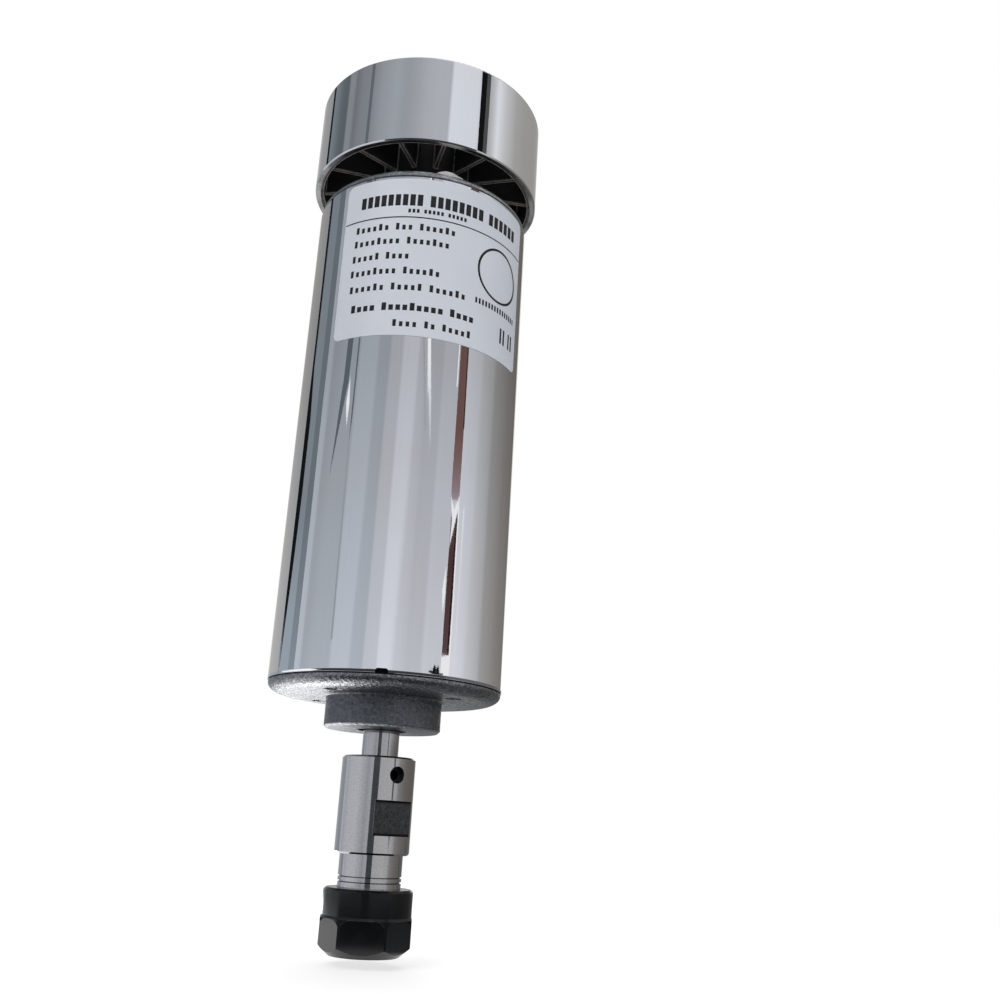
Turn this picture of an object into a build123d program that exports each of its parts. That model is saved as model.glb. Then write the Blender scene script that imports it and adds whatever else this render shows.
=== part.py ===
"""Air-cooled brushed spindle motor with a collet chuck on its nose.

Units are millimetres. Z is the spindle axis: the chuck hangs below, the fan sits on top.
The origin is on the axis, at the front rim of the can. Angles are degrees from +X towards +Y.
"""
from build123d import *
from math import cos, degrees, radians, sin, sqrt, tan
import os

# ---- can -------------------------------------------------------------------------------------
CAN_R = 26.0
CAN_WALL = 2.0
CAN_LENGTH = 115.6
CAN_BORE_R = CAN_R - CAN_WALL
RIM_CHAMFER = 0.3
RIM_NOTCH_WIDTH = 2.6
RIM_NOTCH_DEPTH = 0.9
RIM_NOTCH_CORNER_R = 0.5
RIM_NOTCH_ANGLE = -92.3

# ---- named clearances --------------------------------------------------------------------------
SEAT_GAP = 0.02          # pressed or clamped seats, per side
SLIDE_GAP = 0.06         # sliding and turning fits, per side
DROP_IN_GAP = 0.1        # loose pieces laid in a pocket, per side
AIR_GAP = 0.6            # armature to magnets

# ---- clocking ----------------------------------------------------------------------------------
POLE_ANGLE = -81.5                      # middle of the first magnet
TIE_ANGLE = POLE_ANGLE + 90             # tie bolts pass between the magnets
FACE_HOLE_ANGLE = POLE_ANGLE - 45
BRUSH_ADVANCE = 5.5                     # brushes are advanced for one direction of turning
BRUSH_ANGLE = POLE_ANGLE + BRUSH_ADVANCE

# ---- end brackets ------------------------------------------------------------------------------
BRACKET_STEP = 0.15                     # bracket rim below the can's surface
BRACKET_R = CAN_R - BRACKET_STEP
WITNESS_DEPTH = 0.4                     # shadow groove between a bracket and the can
WITNESS_HEIGHT = 0.25
SHOULDER_HEIGHT = 2.6                   # from the can's rim to the bracket's flat face
SHOULDER_SIDE = 0.55                    # straight part of the rim, beside the can
SHOULDER_WIDTH = 3.65
FLAT_FACE_R = BRACKET_R - SHOULDER_WIDTH
WEB_DEPTH = 1.6                         # web inside the can's rim
REGISTER_LENGTH = 7.0
REGISTER_WALL = 3.3
REGISTER_R = CAN_BORE_R - SEAT_GAP
BEARING_HUB_WALL = 3.0
REAR_POCKET_DEPTH = 1.2                 # floor of the rear bearing's pocket below the can's rim
RIB_WIDTH = 1.6
RIB_HEIGHT = 3.0

PILOT_WALL = 1.83                       # round the front bearing's pocket
PILOT_LENGTH = 6.8
PILOT_CHAMFER = 0.5
PILOT_ROOT_FILLET = 0.5
PILOT_LIP = 1.8                         # metal left in front of the front bearing

FACE_HOLE_COUNT = 4
FACE_HOLE_CIRCLE_R = 18.3
FACE_HOLE_R = 1.65                      # M4 tapped core
FACE_HOLE_CHAMFER = 0.35
SCREW_BOSS_R = 3.3
SCREW_BOSS_HEIGHT = 3.8

TIE_INSET = 4.0                         # bolt axis inside the can's bore
TIE_CIRCLE_R = CAN_BORE_R - TIE_INSET
TIE_SHANK_R = 2.0
TIE_HEAD_R = 3.5
TIE_HEAD_HEIGHT = 2.6
TIE_HEAD_CHAMFER = 0.6
TIE_SLOT_WIDTH = 1.0
TIE_SLOT_DEPTH = 1.3
TIE_LUG_R = 3.5
TIE_HOLE_R = TIE_SHANK_R + DROP_IN_GAP
TIE_THREAD_DEPTH = 6.4
TIE_SPOTFACE_DEPTH = 0.8
TIE_SPOTFACE_GAP = 0.3
TIE_SPOTFACE_R = TIE_HEAD_R + TIE_SPOTFACE_GAP

# ---- ball bearings (8 x 22 x 7) ----------------------------------------------------------------
SHAFT_R = 4.0                           # bearing journals
BEARING_R = 11.0
BEARING_WIDTH = 7.0
BALL_R = 1.984
BALL_COUNT = 7
BALL_CIRCLE_R = (SHAFT_R + BEARING_R) / 2
BALL_GAP = 0.05
RACE_GROOVE_DEPTH = 0.634
INNER_RACE_SHOULDER_R = BALL_CIRCLE_R - BALL_R + RACE_GROOVE_DEPTH
OUTER_RACE_SHOULDER_R = BALL_CIRCLE_R + BALL_R - RACE_GROOVE_DEPTH
SHIELD_THICKNESS = 0.35
SHIELD_INSET = 0.25
SHIELD_SEAT_STEP = 0.75
SHIELD_SEAT_R = OUTER_RACE_SHOULDER_R + SHIELD_SEAT_STEP
SHIELD_GAP = 0.35
CAGE_WALL = 0.9
CAGE_LENGTH = 5.0
CAGE_POCKET_GAP = 0.1

CIRCLIP_THICKNESS = 1.0
CIRCLIP_GROOVE_DEPTH = 0.55
CIRCLIP_OVERHANG = 1.3                  # how far it reaches in over the outer race
CIRCLIP_INNER_R = BEARING_R - CIRCLIP_OVERHANG
CIRCLIP_MOUTH = 40.0                    # degrees
CIRCLIP_EYE_R = 1.5
CIRCLIP_EYE_HOLE_R = 0.6
CIRCLIP_EYE_INSET = 0.5                 # eye centres inside the clip's inner edge
PRELOAD_WASHER_HEIGHT = 0.8
PRELOAD_WASHER_THICKNESS = 0.3
PRELOAD_WASHER_WIDTH = 1.9
PRELOAD_WASHER_INNER_R = BEARING_R - PRELOAD_WASHER_WIDTH

# ---- shaft and armature ------------------------------------------------------------------------
SHAFT_COLLAR_STEP = 1.6                 # collar against the front bearing
SHAFT_COLLAR_R = SHAFT_R + SHAFT_COLLAR_STEP
SHAFT_COLLAR_LENGTH = 3.6
SHAFT_CORE_STEP = 1.0
SHAFT_CORE_R = SHAFT_R + SHAFT_CORE_STEP
SHAFT_OPENING_GAP = 1.4                 # round the shaft in both brackets
SHAFT_OPENING_R = SHAFT_R + SHAFT_OPENING_GAP
SHAFT_CHAMFER = 0.4
CORE_START_Z = 20.0
CORE_END_DEPTH = 37.6                   # below the can's rear rim
SLOT_COUNT = 12
SLOT_FLOOR_R = 9.6
SLOT_LIP = 1.4                          # tooth tips outside the slots
SLOT_FLOOR_WIDTH = 2.6
SLOT_SHOULDER_WIDTH = 5.6
SLOT_MOUTH_WIDTH = 1.8
INSULATOR_THICKNESS = 0.8
INSULATOR_INSET = 0.05                  # how far it stands into each slot
WIRE_GAP = 0.2
END_TURN_LENGTH = 8.0
END_TURN_INNER_GAP = 1.3                # to the shaft
END_TURN_INSET = 1.2                    # inside the core's outline
END_TURN_ROUNDING = 2.6

COMMUTATOR_R = 9.5
COMMUTATOR_CORE_R = 7.4
COMMUTATOR_START_DEPTH = 26.6           # below the can's rear rim
COMMUTATOR_LENGTH = 13.6
RISER_HEIGHT = 1.5
RISER_R = COMMUTATOR_R + RISER_HEIGHT
RISER_LENGTH = 1.6
BAR_SPACE = 0.5

# ---- magnets -----------------------------------------------------------------------------------
MAGNET_THICKNESS = 6.7
MAGNET_R = CAN_BORE_R - DROP_IN_GAP
MAGNET_INNER_R = MAGNET_R - MAGNET_THICKNESS
MAGNET_START_Z = 17.0
MAGNET_END_DEPTH = 31.6                 # below the can's rear rim
MAGNET_SPAN = 124.0                     # degrees
CLIP_THICKNESS = 0.6
CLIP_FOLD_DEPTH = 4.5

# ---- brush gear --------------------------------------------------------------------------------
BRUSH_WIDTH = 5.0
BRUSH_HEIGHT = 6.4
BRUSH_LENGTH = 7.5
BRUSH_LIFT = 1.2                        # how far a brush can be pushed back up its box
BRUSH_WELL_R = 1.9
BRUSH_WELL_DEPTH = 4.0
BOX_WALL = 0.6
BOX_START_GAP = 1.1                     # box mouth to commutator
BOX_START_R = COMMUTATOR_R + BOX_START_GAP
BOX_END_INSET = 3.4                     # inside the can's bore
BOX_END_R = CAN_BORE_R - BOX_END_INSET
BRUSH_PLATE_DEPTH = 12.4                # below the can's rear rim
BRUSH_PLATE_THICKNESS = 1.6
BRUSH_PLATE_EDGE = 0.4                  # inside the outer ends of the boxes
BRUSH_PLATE_R = BOX_END_R - BRUSH_PLATE_EDGE
BRUSH_PLATE_BORE_GAP = 2.0
BRUSH_PLATE_BORE_R = SHAFT_CORE_R + BRUSH_PLATE_BORE_GAP
PLATE_SCREW_CIRCLE_R = 17.0
PLATE_SCREW_R = 1.5
PLATE_SCREW_LENGTH = 7.0
PLATE_SCREW_HEAD_R = 2.6
PLATE_SCREW_HEAD_HEIGHT = 1.7
PLATE_SCREW_HEAD_CHAMFER = 0.4
PLATE_POST_R = 2.7
SPRING_R = 1.4
SPRING_WIRE_R = 0.2
SPRING_TURNS = 4

TERMINAL_WIDTH = 5.0
TERMINAL_THICKNESS = 0.8
TERMINAL_RISE = 2.2                     # above the rear bracket's flat face
TERMINAL_EYE_R = 0.7
BUSHING_WALL = 1.0
BUSHING_LENGTH = 6.0
BUSHING_PROUD = 0.6

# ---- fan ---------------------------------------------------------------------------------------
FAN_RING_OVERHANG = 2.3                 # ring outside the can
FAN_RING_R = CAN_R + FAN_RING_OVERHANG
FAN_RING_WALL = 1.3
FAN_RING_GAP = 5.7                      # from the rear bracket's face to the ring
FAN_RING_LENGTH = 23.4
FAN_RING_ROUNDING = 0.5
FAN_RIM_WALL = 0.8
FAN_RIM_INSET = 0.5
BLADE_COUNT = 14
BLADE_THICKNESS = 1.0
FIRST_BLADE_ANGLE = -185.1
BLADE_INSET = 2.1                       # blade edge behind the ring's lower edge, at the rim
BLADE_SWEEP_BACK = 1.9                  # and this much further behind it at the hub
BLADE_TOP_INSET = 2.4
FAN_HUB_R = 12.0
FAN_HUB_WALL = 1.6
FAN_WEB_THICKNESS = 2.0
FAN_BOSS_R = 6.0
FAN_STUD_R = 3.0
FAN_SEAT_RISE = 1.1                     # shaft shoulder above the ring's lower edge
FAN_BOSS_LENGTH = 13.0
WASHER_R = 5.6
WASHER_THICKNESS = 1.0
FAN_NUT_ACROSS_FLATS = 10.0
FAN_NUT_HEIGHT = 4.0
FAN_NUT_CHAMFER_ANGLE = 30.0
STUD_PROUD = 1.5

# ---- collet (ER11, for a 3.175 shank) ----------------------------------------------------------
COLLET_R = 5.66
COLLET_TAPER = 8.0                      # degrees each side
COLLET_NOSE_TAPER = 30.0
COLLET_LENGTH = 18.0
COLLET_SHANK_R = 3.175 / 2
COLLET_WIDEST_Z = -50.6
COLLET_NOSE_STEP = 0.91                 # radius lost over the nose taper
COLLET_NOSE_R = COLLET_R - COLLET_NOSE_STEP
COLLET_GROOVE_DEPTH = 0.55
COLLET_GROOVE_R = COLLET_NOSE_R - COLLET_GROOVE_DEPTH
COLLET_GROOVE_LENGTH = 1.2
COLLET_LIP_LENGTH = 1.5
COLLET_SLOT_WIDTH = 0.5
COLLET_SLOT_UNCUT = 3.0

# ---- collet chuck ------------------------------------------------------------------------------
CHUCK_NECK_WALL = 1.09                  # threaded neck round the collet's widest part
CHUCK_NECK_R = COLLET_R + CHUCK_NECK_WALL
CHUCK_STEP = 1.25
CHUCK_R = CHUCK_NECK_R + CHUCK_STEP
CHUCK_TOP_Z = -15.1
CHUCK_STEP_Z = -35.3
CHUCK_END_Z = -49.6
CHUCK_CHAMFER = 0.4
CHUCK_BORE_DEPTH = 13.0
CHUCK_PASSAGE_R = 3.0
SET_SCREW_Z = -18.9
SET_SCREW_ANGLE = -59.0
SET_SCREW_R = 1.75
SET_SCREW_LENGTH = 3.0
SET_SCREW_SOCKET = 2.0                  # across flats
SET_SCREW_SOCKET_DEPTH = 1.6
SHAFT_FLAT_DEPTH = 0.5
SHAFT_FLAT_LENGTH = 6.0
WRENCH_FLAT_ANGLE = -55.0
WRENCH_FLAT_CUT = 1.5
WRENCH_FLAT_TOP_Z = -24.2
WRENCH_FLAT_LENGTH = 7.2
THREAD_PITCH = 1.0
RUNOUT_GROOVE_DEPTH = 0.3
RUNOUT_GROOVE_WIDTH = 0.4
RUNOUT_GROOVE_Z = -39.8

# ---- collet nut --------------------------------------------------------------------------------
NUT_WALL = 2.75                         # round the thread
NUT_R = CHUCK_NECK_R + NUT_WALL
NUT_HEX_STEP = 0.16                     # corners of the flats outside the round body
NUT_HEX_CORNER_R = NUT_R + NUT_HEX_STEP
NUT_TOP_Z = -42.1
NUT_END_Z = -55.4
NUT_NOSE_CONE = 2.0
NUT_NOSE_R = NUT_R - NUT_NOSE_CONE
NUT_NOSE_HEIGHT = 1.8
NUT_TOP_CHAMFER = 0.5
NUT_FLAT_CUT = 1.0
NUT_ACROSS_FLATS = 2 * (NUT_R - NUT_FLAT_CUT)
NUT_FLAT_TOP_Z = -48.0
NUT_FLAT_CORNER_R = 2.6
NUT_FLAT_ANGLE = -94.0
NUT_CHAMBER_GAP = 0.64
NUT_CHAMBER_R = COLLET_R + NUT_CHAMBER_GAP
EXTRACTOR_ECCENTRICITY = 0.15
EXTRACTOR_WIDTH = 1.25
EXTRACTOR_R = COLLET_NOSE_R + EXTRACTOR_WIDTH

# ---- derived sizes and heights -------------------------------------------------------------------
BEARING_POCKET_R = BEARING_R + SEAT_GAP
PILOT_R = BEARING_POCKET_R + PILOT_WALL
ARMATURE_R = MAGNET_INNER_R - AIR_GAP
SLOT_SHOULDER_R = ARMATURE_R - SLOT_LIP
END_TURN_INNER_R = SHAFT_CORE_R + END_TURN_INNER_GAP
END_TURN_R = ARMATURE_R - END_TURN_INSET
FRONT_FACE_Z = -SHOULDER_HEIGHT
REAR_FACE_Z = CAN_LENGTH + SHOULDER_HEIGHT
PILOT_END_Z = FRONT_FACE_Z - PILOT_LENGTH
FRONT_BEARING_Z = PILOT_END_Z + PILOT_LIP
FRONT_HUB_END_Z = FRONT_BEARING_Z + BEARING_WIDTH + 2 * CIRCLIP_THICKNESS
REAR_POCKET_Z = CAN_LENGTH - REAR_POCKET_DEPTH
REAR_BEARING_Z = REAR_POCKET_Z - PRELOAD_WASHER_HEIGHT - BEARING_WIDTH
REAR_WEB_Z = CAN_LENGTH - WEB_DEPTH
CORE_END_Z = CAN_LENGTH - CORE_END_DEPTH
CORE_LENGTH = CORE_END_Z - CORE_START_Z
COMMUTATOR_START_Z = CAN_LENGTH - COMMUTATOR_START_DEPTH
MAGNET_LENGTH = CAN_LENGTH - MAGNET_END_DEPTH - MAGNET_START_Z
BRUSH_PLATE_Z = CAN_LENGTH - BRUSH_PLATE_DEPTH
SHAFT_END_Z = CHUCK_TOP_Z - CHUCK_BORE_DEPTH + SHAFT_CHAMFER
FAN_RING_START_Z = REAR_FACE_Z + FAN_RING_GAP
FAN_SEAT_Z = FAN_RING_START_Z + FAN_SEAT_RISE
FAN_NUT_Z = FAN_SEAT_Z + FAN_BOSS_LENGTH + WASHER_THICKNESS
STUD_END_Z = FAN_NUT_Z + FAN_NUT_HEIGHT + STUD_PROUD
BRUSH_Z = BRUSH_PLATE_Z - BOX_WALL - SLIDE_GAP - BRUSH_HEIGHT / 2
COLLET_NOSE_Z = COLLET_WIDEST_Z - (COLLET_R - COLLET_NOSE_R) / tan(radians(COLLET_NOSE_TAPER))
COLLET_END_Z = COLLET_NOSE_Z - COLLET_GROOVE_LENGTH - COLLET_LIP_LENGTH
COLLET_TOP_Z = COLLET_END_Z + COLLET_LENGTH
EXTRACTOR_Z = COLLET_NOSE_Z - DROP_IN_GAP
EXTRACTOR_THICKNESS = COLLET_GROOVE_LENGTH - 2 * DROP_IN_GAP


def save(block, name):
    """Label a finished piece and write it under its own name."""
    block.part.label = name
    export_step(block.part, f"parts/{name}.step")


def radial_plane(angle):
    """Plane through the axis at an angle: local X is outwards, local Y is up."""
    a = radians(angle)
    return Plane(origin=(0, 0, 0), x_dir=(cos(a), sin(a), 0), z_dir=(sin(a), -cos(a), 0))


def facing_plane(angle, distance, height):
    """Plane square to a radius: local X is up, local Z is outwards."""
    a = radians(angle)
    origin = (distance * cos(a), distance * sin(a), height)
    return Plane(origin=origin, x_dir=(0, 0, 1), z_dir=(cos(a), sin(a), 0))


def collet_taper_r(z):
    """Radius of the collet's long taper at a height."""
    return COLLET_R - (z - COLLET_WIDEST_Z) * tan(radians(COLLET_TAPER))


os.makedirs("parts", exist_ok=True)

# ---- can: plain tube, with a timing notch in its front rim ---------------------------------------
with BuildPart() as motor_can:
    with BuildSketch():
        Circle(CAN_R)
        Circle(CAN_BORE_R, mode=Mode.SUBTRACT)
    extrude(amount=CAN_LENGTH)
    rear_rim = motor_can.edges().group_by(Axis.Z)[-1]
    chamfer(rear_rim, RIM_CHAMFER)
    with BuildSketch(facing_plane(RIM_NOTCH_ANGLE, CAN_R - CAN_WALL / 2, 0)):
        RectangleRounded(2 * RIM_NOTCH_DEPTH, RIM_NOTCH_WIDTH, RIM_NOTCH_CORNER_R)
    extrude(amount=CAN_WALL, both=True, mode=Mode.SUBTRACT)
save(motor_can, "motor_can")

# ---- front bracket: flange, pilot boss, bearing pocket, ribs and screw bosses -------------------
with BuildPart() as front_bracket:
    with BuildSketch(Plane.XZ):
        with BuildLine():
            Polyline(
                (SHAFT_OPENING_R, PILOT_END_Z),
                (PILOT_R, PILOT_END_Z),
                (PILOT_R, FRONT_FACE_Z),
                (FLAT_FACE_R, FRONT_FACE_Z),
            )
            EllipticalCenterArc(
                (FLAT_FACE_R, -SHOULDER_SIDE),
                BRACKET_R - FLAT_FACE_R,
                SHOULDER_HEIGHT - SHOULDER_SIDE,
                start_angle=270,
                arc_size=90,
            )
            Polyline(
                (BRACKET_R, -SHOULDER_SIDE),
                (BRACKET_R, -WITNESS_HEIGHT),
                (BRACKET_R - WITNESS_DEPTH, -WITNESS_HEIGHT),
                (BRACKET_R - WITNESS_DEPTH, 0),
                (REGISTER_R, 0),
                (REGISTER_R, REGISTER_LENGTH),
                (REGISTER_R - REGISTER_WALL, REGISTER_LENGTH),
                (REGISTER_R - REGISTER_WALL, WEB_DEPTH),
                (BEARING_POCKET_R + BEARING_HUB_WALL, WEB_DEPTH),
                (BEARING_POCKET_R + BEARING_HUB_WALL, FRONT_HUB_END_Z),
                (BEARING_POCKET_R, FRONT_HUB_END_Z),
                (BEARING_POCKET_R, FRONT_BEARING_Z),
                (SHAFT_OPENING_R, FRONT_BEARING_Z),
                (SHAFT_OPENING_R, PILOT_END_Z),
            )
        make_face()
    revolve(axis=Axis.Z)
    pilot_edges = front_bracket.edges().filter_by(GeomType.CIRCLE)
    pilot_nose = pilot_edges.filter_by(lambda e: abs(e.radius - PILOT_R) < SEAT_GAP).group_by(Axis.Z)
    chamfer(pilot_nose[0], PILOT_CHAMFER)
    root_edges = front_bracket.edges().filter_by(GeomType.CIRCLE)
    pilot_root = root_edges.filter_by(lambda e: abs(e.radius - PILOT_R) < SEAT_GAP).group_by(Axis.Z)
    fillet(pilot_root[-1], PILOT_ROOT_FILLET)
    # screw bosses behind the tapped holes and lugs for the tie bolts
    with BuildSketch(Plane.XY.offset(WEB_DEPTH)):
        with PolarLocations(FACE_HOLE_CIRCLE_R, FACE_HOLE_COUNT, start_angle=FACE_HOLE_ANGLE):
            Circle(SCREW_BOSS_R)
    extrude(amount=SCREW_BOSS_HEIGHT)
    with BuildSketch(Plane.XY.offset(WEB_DEPTH)):
        with PolarLocations(TIE_CIRCLE_R, 2, start_angle=TIE_ANGLE):
            Circle(TIE_LUG_R)
    extrude(amount=REGISTER_LENGTH - WEB_DEPTH)
    # ribs from the bearing hub to the register
    with BuildSketch(Plane.XY.offset(WEB_DEPTH)):
        with PolarLocations((BEARING_POCKET_R + REGISTER_R) / 2, 4, start_angle=POLE_ANGLE):
            Rectangle(REGISTER_R - BEARING_POCKET_R - BEARING_HUB_WALL, RIB_WIDTH)
    extrude(amount=RIB_HEIGHT)
    with BuildSketch(Plane.XY.offset(FRONT_BEARING_Z + BEARING_WIDTH)):
        Circle(BEARING_POCKET_R + CIRCLIP_GROOVE_DEPTH)
    extrude(amount=CIRCLIP_THICKNESS + DROP_IN_GAP, mode=Mode.SUBTRACT)
    with Locations(Plane(origin=(0, 0, FRONT_FACE_Z), z_dir=(0, 0, -1))):
        with PolarLocations(FACE_HOLE_CIRCLE_R, FACE_HOLE_COUNT, start_angle=-FACE_HOLE_ANGLE):
            Hole(FACE_HOLE_R, depth=SHOULDER_HEIGHT + WEB_DEPTH + SCREW_BOSS_HEIGHT)
    hole_mouths = front_bracket.edges().filter_by(GeomType.CIRCLE).filter_by(
        lambda e: abs(e.radius - FACE_HOLE_R) < SEAT_GAP
    )
    chamfer(hole_mouths.group_by(Axis.Z)[0], FACE_HOLE_CHAMFER)
    with Locations(Plane.XY.offset(REGISTER_LENGTH)):
        with PolarLocations(TIE_CIRCLE_R, 2, start_angle=TIE_ANGLE):
            Hole(TIE_SHANK_R + SEAT_GAP, depth=TIE_THREAD_DEPTH)
save(front_bracket, "front_bracket")

# ---- rear bracket: the same casting form, with terminal windows and brush plate posts -----------
with BuildPart() as rear_bracket:
    with BuildSketch(Plane.XZ):
        with BuildLine():
            Polyline(
                (SHAFT_OPENING_R, REAR_FACE_Z),
                (FLAT_FACE_R, REAR_FACE_Z),
            )
            EllipticalCenterArc(
                (FLAT_FACE_R, CAN_LENGTH + SHOULDER_SIDE),
                BRACKET_R - FLAT_FACE_R,
                SHOULDER_HEIGHT - SHOULDER_SIDE,
                start_angle=0,
                arc_size=90,
            )
            Polyline(
                (BRACKET_R, CAN_LENGTH + SHOULDER_SIDE),
                (BRACKET_R, CAN_LENGTH + WITNESS_HEIGHT),
                (BRACKET_R - WITNESS_DEPTH, CAN_LENGTH + WITNESS_HEIGHT),
                (BRACKET_R - WITNESS_DEPTH, CAN_LENGTH),
                (REGISTER_R, CAN_LENGTH),
                (REGISTER_R, CAN_LENGTH - REGISTER_LENGTH),
                (REGISTER_R - REGISTER_WALL, CAN_LENGTH - REGISTER_LENGTH),
                (REGISTER_R - REGISTER_WALL, REAR_WEB_Z),
                (BEARING_POCKET_R + BEARING_HUB_WALL, REAR_WEB_Z),
                (BEARING_POCKET_R + BEARING_HUB_WALL, REAR_BEARING_Z),
                (BEARING_POCKET_R, REAR_BEARING_Z),
                (BEARING_POCKET_R, REAR_POCKET_Z),
                (SHAFT_OPENING_R, REAR_POCKET_Z),
                (SHAFT_OPENING_R, REAR_FACE_Z),
            )
        make_face()
    revolve(axis=Axis.Z)
    # lugs for the tie bolts and posts that carry the brush plate
    with BuildSketch(Plane.XY.offset(CAN_LENGTH - REGISTER_LENGTH)):
        with PolarLocations(TIE_CIRCLE_R, 2, start_angle=TIE_ANGLE):
            Circle(TIE_LUG_R)
    extrude(amount=REGISTER_LENGTH - WEB_DEPTH)
    with BuildSketch(Plane.XY.offset(BRUSH_PLATE_Z + BRUSH_PLATE_THICKNESS)):
        with PolarLocations(PLATE_SCREW_CIRCLE_R, 2, start_angle=BRUSH_ANGLE + 45):
            Circle(PLATE_POST_R)
    extrude(until=Until.NEXT)
    with Locations(Plane.XY.offset(REAR_FACE_Z)):
        with PolarLocations(TIE_CIRCLE_R, 2, start_angle=TIE_ANGLE):
            CounterBoreHole(TIE_HOLE_R, TIE_SPOTFACE_R, TIE_SPOTFACE_DEPTH)
    with Locations(Plane(origin=(0, 0, BRUSH_PLATE_Z + BRUSH_PLATE_THICKNESS), z_dir=(0, 0, -1))):
        with PolarLocations(PLATE_SCREW_CIRCLE_R, 2, start_angle=-BRUSH_ANGLE - 45):
            Hole(PLATE_SCREW_R + SEAT_GAP, depth=PLATE_SCREW_LENGTH)
    # windows for the insulated terminals, cut through the web and the register
    with BuildSketch(Plane.XY.offset(CAN_LENGTH - REGISTER_LENGTH)):
        with PolarLocations(BOX_END_R + TERMINAL_THICKNESS / 2, 2, start_angle=BRUSH_ANGLE):
            Rectangle(TERMINAL_THICKNESS + 2 * BUSHING_WALL, TERMINAL_WIDTH + 2 * BUSHING_WALL)
    extrude(amount=REGISTER_LENGTH + SHOULDER_HEIGHT, mode=Mode.SUBTRACT)
save(rear_bracket, "rear_bracket")

# ---- the two bearings --------------------------------------------------------------------------
for end, start_z in (("front", FRONT_BEARING_Z), ("rear", REAR_BEARING_Z)):
    middle_z = start_z + BEARING_WIDTH / 2
    shield_start = BEARING_WIDTH / 2 - SHIELD_INSET - SHIELD_THICKNESS
    with BuildPart() as outer_race:
        with BuildSketch(Plane.XZ):
            with Locations((0, middle_z)):
                with Locations(((OUTER_RACE_SHOULDER_R + BEARING_R) / 2, 0)):
                    Rectangle(BEARING_R - OUTER_RACE_SHOULDER_R, BEARING_WIDTH)
                for side in (-1, 1):
                    with Locations((OUTER_RACE_SHOULDER_R, side * BEARING_WIDTH / 2)):
                        Rectangle(
                            2 * (SHIELD_SEAT_R - OUTER_RACE_SHOULDER_R),
                            2 * (SHIELD_INSET + SHIELD_THICKNESS),
                            mode=Mode.SUBTRACT,
                        )
                with Locations((BALL_CIRCLE_R, 0)):
                    Circle(BALL_R + BALL_GAP, mode=Mode.SUBTRACT)
        revolve(axis=Axis.Z)
    save(outer_race, f"{end}_bearing_outer_race")

    with BuildPart() as inner_race:
        with BuildSketch(Plane.XZ):
            with Locations((0, middle_z)):
                with Locations(((SHAFT_R + SEAT_GAP + INNER_RACE_SHOULDER_R) / 2, 0)):
                    Rectangle(INNER_RACE_SHOULDER_R - SHAFT_R - SEAT_GAP, BEARING_WIDTH)
                with Locations((BALL_CIRCLE_R, 0)):
                    Circle(BALL_R + BALL_GAP, mode=Mode.SUBTRACT)
        revolve(axis=Axis.Z)
    save(inner_race, f"{end}_bearing_inner_race")

    with BuildPart() as shields:
        for bottom in (middle_z + shield_start, middle_z - shield_start - SHIELD_THICKNESS):
            with BuildSketch(Plane.XY.offset(bottom)):
                Circle(SHIELD_SEAT_R - SEAT_GAP)
                Circle(INNER_RACE_SHOULDER_R + SHIELD_GAP, mode=Mode.SUBTRACT)
            extrude(amount=SHIELD_THICKNESS)
    save(shields, f"{end}_bearing_shields")

    with BuildPart() as balls:
        with Locations((0, 0, middle_z)):
            with PolarLocations(BALL_CIRCLE_R, BALL_COUNT):
                Sphere(BALL_R)
    save(balls, f"{end}_bearing_balls")

    with BuildPart() as cage:
        with BuildSketch(Plane.XY.offset(middle_z - CAGE_LENGTH / 2)):
            Circle(BALL_CIRCLE_R + CAGE_WALL / 2)
            Circle(BALL_CIRCLE_R - CAGE_WALL / 2, mode=Mode.SUBTRACT)
        extrude(amount=CAGE_LENGTH)
        for pocket in range(BALL_COUNT):
            with BuildSketch(facing_plane(360 * pocket / BALL_COUNT, 0, middle_z)):
                Circle(BALL_R + CAGE_POCKET_GAP)
            extrude(amount=BEARING_R, mode=Mode.SUBTRACT)
    save(cage, f"{end}_bearing_cage")

# ---- circlip that holds the front bearing ------------------------------------------------------
with BuildPart() as front_bearing_circlip:
    mouth = radians(CIRCLIP_MOUTH / 2)
    reach = BEARING_R * 2
    eye_circle_r = CIRCLIP_INNER_R - CIRCLIP_EYE_INSET
    with BuildSketch(Plane.XY.offset(FRONT_BEARING_Z + BEARING_WIDTH)):
        Circle(BEARING_POCKET_R + CIRCLIP_GROOVE_DEPTH - DROP_IN_GAP)
        Circle(CIRCLIP_INNER_R, mode=Mode.SUBTRACT)
        Polygon(
            (0, 0),
            (reach * cos(mouth), -reach * sin(mouth)),
            (reach * cos(mouth), reach * sin(mouth)),
            align=None,
            mode=Mode.SUBTRACT,
        )
        for eye_angle in (-CIRCLIP_MOUTH / 2, CIRCLIP_MOUTH / 2):
            with PolarLocations(eye_circle_r, 1, start_angle=eye_angle):
                Circle(CIRCLIP_EYE_R)
                Circle(CIRCLIP_EYE_HOLE_R, mode=Mode.SUBTRACT)
    extrude(amount=CIRCLIP_THICKNESS)
save(front_bearing_circlip, "front_bearing_circlip")

# ---- coned spring washer that preloads the rear bearing -----------------------------------------
with BuildPart() as preload_washer:
    washer_z = REAR_BEARING_Z + BEARING_WIDTH
    washer_r = BEARING_R - DROP_IN_GAP
    cone_rise = PRELOAD_WASHER_HEIGHT - PRELOAD_WASHER_THICKNESS
    with BuildSketch(Plane.XZ):
        with BuildLine():
            Polyline(
                (washer_r, washer_z),
                (washer_r, washer_z + PRELOAD_WASHER_THICKNESS),
                (PRELOAD_WASHER_INNER_R, washer_z + PRELOAD_WASHER_HEIGHT),
                (PRELOAD_WASHER_INNER_R, washer_z + cone_rise),
                close=True,
            )
        make_face()
    revolve(axis=Axis.Z)
save(preload_washer, "bearing_preload_washer")

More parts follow.
